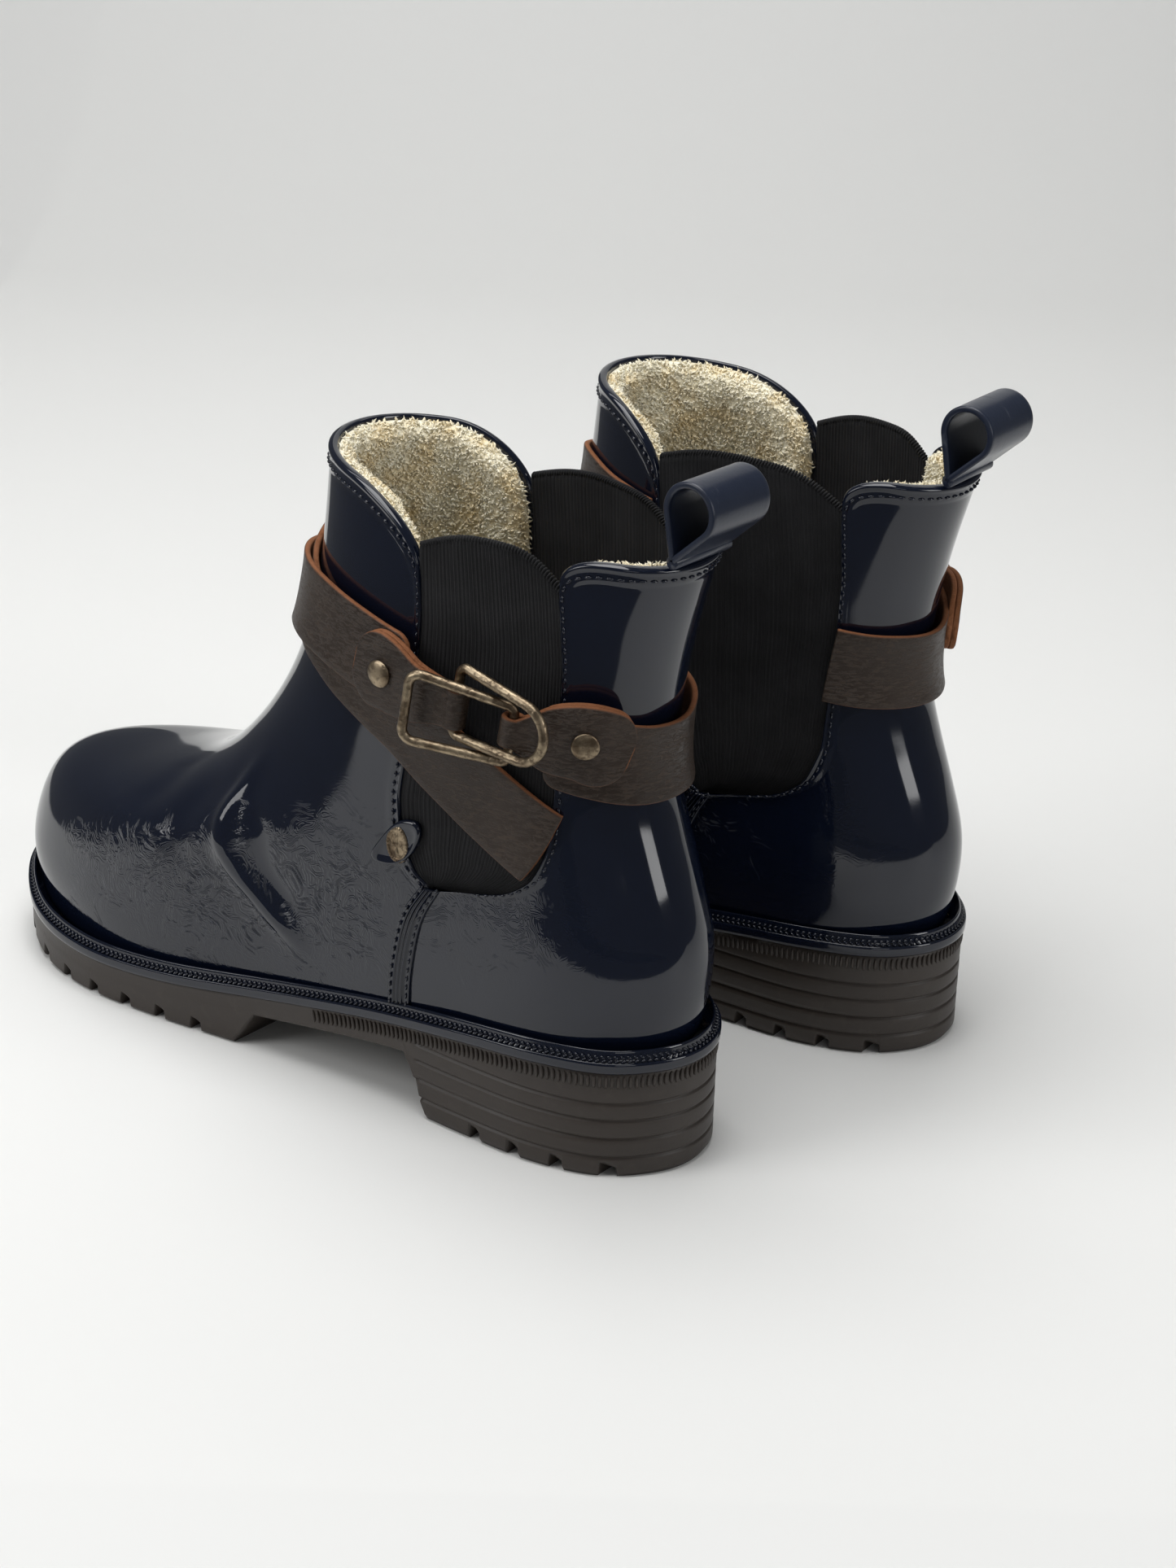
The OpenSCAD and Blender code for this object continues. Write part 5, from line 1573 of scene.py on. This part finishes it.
# %% Turned heads
def on_skin(angle, level, height_, local):
    """Carries (across, up, out) points to a place on the last."""
    n = outward(angle, level)
    side_ = unit(np.cross((0, 0, 1.0), n))
    up_ = np.cross(n, side_)
    return (off_skin(angle, level, height_) + local[..., :1] * side_ + local[..., 1:2] * up_
            + local[..., 2:] * n)


def turned_head(profile_, count=40):
    """A solid of revolution from (radius, height) stations; its poles are closed by welding."""
    a = np.linspace(0, 2 * math.pi, count, endpoint=False)
    return np.array([np.stack([r * np.cos(a), r * np.sin(a), np.full(count, h)], -1)
                     for r, h in profile_])


HEAD = [(0.001, -2.5), (1.45, -2.5), (1.5, -2.4), (1.5, 0.0), (3.7, 0.0), (3.95, 0.18), (4.0, 0.45),
        (3.85, 0.72), (3.5, 0.92), (2.9, 1.12), (2.1, 1.28), (1.2, 1.37), (0.5, 1.4), (0.001, 1.4)]
for side in SIDES:
    for name, spot, lift in (("rivet_front", (95.0, 0.79), TAB_LIFT),
                             ("rivet_back", (32.5, 0.74), BACK_LIFT)):
        points, faces = loft(on_skin(*spot, lift + 2 * LEATHER + 0.25, turned_head(HEAD)))
        rivet = piece(name + "_head", side, points, faces, antique_brass, "antique_brass",
                      stands_for=(name,))
print("rivet", len(rivet.data.polygons), "faces")

# %% Badge and its tab
EMBLEM, BADGE_LIFT = (79.0, 0.46), 0.55
PLATE_SIZE, BADGE_SIZE, SQUARENESS = (6.6, 9.3), (3.9, 6.0), 2.6     # half sizes


def tab_plate():
    """The small moulded tab: a rounded plate laid on the shell and over the gore's edge."""
    r = np.array([0.02, 0.3, 0.55, 0.75, 0.88, 0.95, 1.0, 1.0])
    h = np.array([1.15, 1.15, 1.15, 1.3, 1.9, 1.8, 1.2, 0.1])
    a = np.linspace(0, 2 * math.pi, 56, endpoint=False)
    shape = np.abs(np.cos(a)) ** SQUARENESS + np.abs(np.sin(a)) ** SQUARENESS
    shape = shape ** (-1 / SQUARENESS)
    rings = np.stack([r[:, None] * shape * np.cos(a) * PLATE_SIZE[0],
                      r[:, None] * shape * np.sin(a) * PLATE_SIZE[1],
                      np.repeat(h[:, None], len(a), 1)], -1)
    along_a = 1 / np.linalg.norm(slope_round(*EMBLEM))
    along_v = 1 / np.linalg.norm(slope_up(*EMBLEM))
    return off_skin(EMBLEM[0] - rings[..., 0] * along_a, EMBLEM[1] + rings[..., 1] * along_v,
                    rings[..., 2])


def badge():
    """An oval plate with a rope border and four petals; the last ring is the hidden underside."""
    a = np.linspace(0, 2 * math.pi, 112, endpoint=False)
    r = np.concatenate([[0.002], np.linspace(0.06, 0.66, 14), np.linspace(0.70, 0.98, 12),
                        [1.0, 1.0]])
    rr, aa = np.meshgrid(r, a, indexing="ij")
    petal = np.clip(1 - ((rr - 0.36) / 0.26) ** 2, 0, 1) * np.clip(np.cos(4 * aa), 0, 1) ** 0.8
    heart = np.exp(-(rr / 0.10) ** 2)
    rope = np.clip(1 - ((rr - 0.84) / 0.12) ** 2, 0, 1) ** 0.5
    rope = rope * (0.75 + 0.25 * np.cos(28 * aa + 9 * rr))
    h = 0.75 + 0.45 * petal + 0.35 * heart + 0.55 * rope
    h[-2], h[-1] = 0.6, 0.0
    return np.stack([rr * np.cos(aa) * BADGE_SIZE[0], rr * np.sin(aa) * BADGE_SIZE[1], h], -1)


for side in SIDES:
    points, faces = loft(tab_plate())
    piece("badge_tab", side, points, faces, navy_gloss, "gloss_navy", stands_for=("emblem_tab",),
          values={"flow": np.zeros(len(points))})
    points, faces = loft(on_skin(*EMBLEM, BADGE_LIFT, badge()))
    badge_piece = piece("badge", side, points, faces, antique_brass, "antique_brass",
                        stands_for=("emblem",))
print("badge", len(badge_piece.data.polygons), "faces")

# %% [markdown]
# ## Pull loop
# A band of the shell's plastic, folded into a drop and welded to the top of the back panel. It is
# one strip that runs up, round and down again, so its two ends meet at the root.

# %% Drop-shaped band
LOOP_ROOT, LOOP_RADIUS, LOOP_THICK, LOOP_WIDTH = np.array([9.17, 185.12]), 8.5, 2.0, 25
LOOP_CENTRE = LOOP_ROOT + (-5, 15)
GROOVE_AT, GROOVE_DEEP = 10.2, 0.12
WELD_ROD = [(0.001, -12.3), (1.6, -12.3), (1.9, -12.0), (1.9, 12.0), (1.6, 12.3), (0.001, 12.3)]


def drop_path(radius, tip):
    """From the tip round the drop and back, in the boot's middle plane."""
    d = tip - LOOP_CENTRE
    aim, spread_ = math.atan2(d[1], d[0]), math.acos(radius / np.linalg.norm(d))
    a = aim + spread_ + np.linspace(0, 1, 60) * (2 * math.pi - 2 * spread_)
    arc = LOOP_CENTRE + radius * np.stack([np.cos(a), np.sin(a)], -1)
    lead = np.linspace(0, 1, 16)[:-1, None]
    return np.concatenate([mix(tip, arc[0], lead), arc, mix(arc[-1], tip, lead + 1 / 15)])


def loop_rings():
    """The band's rings; a shallow groove runs inside each of its edges."""
    path = drop_path(LOOP_RADIUS - LOOP_THICK / 2, LOOP_ROOT + (0, 0.4))
    ahead = unit(np.gradient(path, axis=0))
    facing = np.stack([ahead[:, 1], -ahead[:, 0]], -1)
    section = flat_section(LOOP_WIDTH / 2, LOOP_THICK - 0.1, 21)
    groove = GROOVE_DEEP * np.exp(-((np.abs(section[:, 0]) - GROOVE_AT) / 0.45) ** 2)
    groove = groove * (section[:, 2] < 0.5)     # on the band's outer face only
    out = section[:, 1] - (LOOP_THICK - 0.1) / 2 - groove
    flat = path[:, None, :] + facing[:, None, :] * out[None, :, None]
    across_ = np.repeat(section[None, :, 0], len(path), 0)
    return np.stack([flat[..., 0], across_, flat[..., 1]], -1)


points, faces = loft(loop_rings())
rod = turned_head(WELD_ROD, 24)
rod_points, rod_faces = loft(np.stack([rod[..., 0] + LOOP_ROOT[0], rod[..., 2],
                                       rod[..., 1] + LOOP_ROOT[1]], -1))
faces += [tuple(len(points) + i for i in face) for face in rod_faces]
points = np.concatenate([points, rod_points])
for side in SIDES:
    loop = piece("pull_band", side, points, faces, navy_satin, "satin_navy",
                 body="pull_loop", stands_for=("pull_loop",))
print("pull loop", len(loop.data.polygons), "faces")

# %% [markdown]
# ## Footbed
# The fleece-covered footbed is a thin foam pad. It starts as a slightly small closed pad, and
# Blender's cloth fills it with a little pressure, so it crowns between its edges. A cap keeps
# any point from moving more than 0.8 mm, since the boot's wall is close by.

# %% Padded footbed
PAD_POINTS, PAD_LEVEL, PAD_GAP, PAD_SMALLER = 64, 0.03, 2.6, 1.0
VOXEL, CLOTH_FRAMES, PRESSURE, CAP = 0.0042, 12, 1.5, 0.0008


def pad_mesh():
    """A plain closed pad inside the lining, a little smaller than the footbed."""
    a = np.arange(PAD_POINTS) * 360 / PAD_POINTS
    rim = off_skin(a, np.full(PAD_POINTS, PAD_LEVEL),
                   np.full(PAD_POINTS, -(SHELL + LINING + PAD_GAP + PAD_SMALLER)))
    centre = rim.mean(0)
    rings = []
    for share, rise in ((0.002, 0.4), (0.35, 0.4), (0.7, 0.4), (0.94, 0.4), (1.0, 1.2), (1.0, 3.6),
                        (0.94, 4.4), (0.7, 4.6), (0.35, 4.6), (0.002, 4.6)):
        p = centre + (rim - centre) * share
        rings.append(np.column_stack([p[:, :2], sole_top(p[:, 0]) + 2.2 + rise]))
    return loft(np.array(rings))


def evaluated(obj):
    return obj.evaluated_get(bpy.context.evaluated_depsgraph_get())


def inflate(obj):
    """Remeshes obj evenly, runs cloth with pressure on it and keeps the capped result."""
    obj.data.materials.clear()
    remesh = obj.modifiers.new("even", "REMESH")
    remesh.mode, remesh.voxel_size = "VOXEL", VOXEL
    bpy.context.view_layer.update()
    even = bpy.data.meshes.new_from_object(evaluated(obj))
    obj.modifiers.clear()
    obj.data = even
    before = np.array([v.co for v in even.vertices])
    cloth = obj.modifiers.new("cloth", "CLOTH")
    cloth.settings.use_pressure = True
    cloth.settings.uniform_pressure_force = PRESSURE
    cloth.settings.effector_weights.gravity = 0
    for frame_number in range(1, CLOTH_FRAMES + 1):
        bpy.context.scene.frame_set(frame_number)
    after = np.array([v.co for v in evaluated(obj).data.vertices])
    obj.modifiers.clear()
    bpy.context.scene.frame_set(1)
    move = after - before
    size_ = np.linalg.norm(move, axis=-1, keepdims=True)
    capped = before + move * np.minimum(1, CAP / np.maximum(size_, 1e-9))
    even.vertices.foreach_set("co", capped.ravel())


for side in SIDES:
    points, faces = pad_mesh()
    pad = piece("footbed_pad", side, points, faces, cream_fleece, "fleece", stands_for=("footbed",))
    inflate(pad)
    finer = pad.modifiers.new("finer", "SUBSURF")
    finer.levels = finer.render_levels = 1
    mesh = bpy.data.meshes.new_from_object(evaluated(pad))
    pad.modifiers.clear()
    pad.data = mesh
    mesh.materials.append(cream_fleece)
    shade_smooth(mesh)
print("footbed", len(pad.data.polygons), "faces")

# %% [markdown]
# ## Pieces that keep their engineering shape
# The board under the footbed and the washers behind the rivets are simple and hidden. Their
# shape is right already, so they only get the right finish.

# %% Finishes for the hidden pieces
for side in SIDES:
    for node, finish in (("insole_board", fibre_board), ("washer_front", antique_brass),
                         ("washer_back", antique_brass)):
        kept = frame["nodes"][f"{side}_{node}"]
        kept.data.materials.clear()
        kept.data.materials.append(finish)
print("hidden pieces finished")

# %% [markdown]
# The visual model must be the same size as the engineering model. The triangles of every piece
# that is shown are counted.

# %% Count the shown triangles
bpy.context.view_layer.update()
shown = [o for o in bpy.data.objects
         if o.type == "MESH" and not o.hide_render and not o.get("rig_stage")]
triangles = sum(len(p.vertices) - 2 for o in shown for p in o.data.polygons)
print("triangles in all:", triangles)
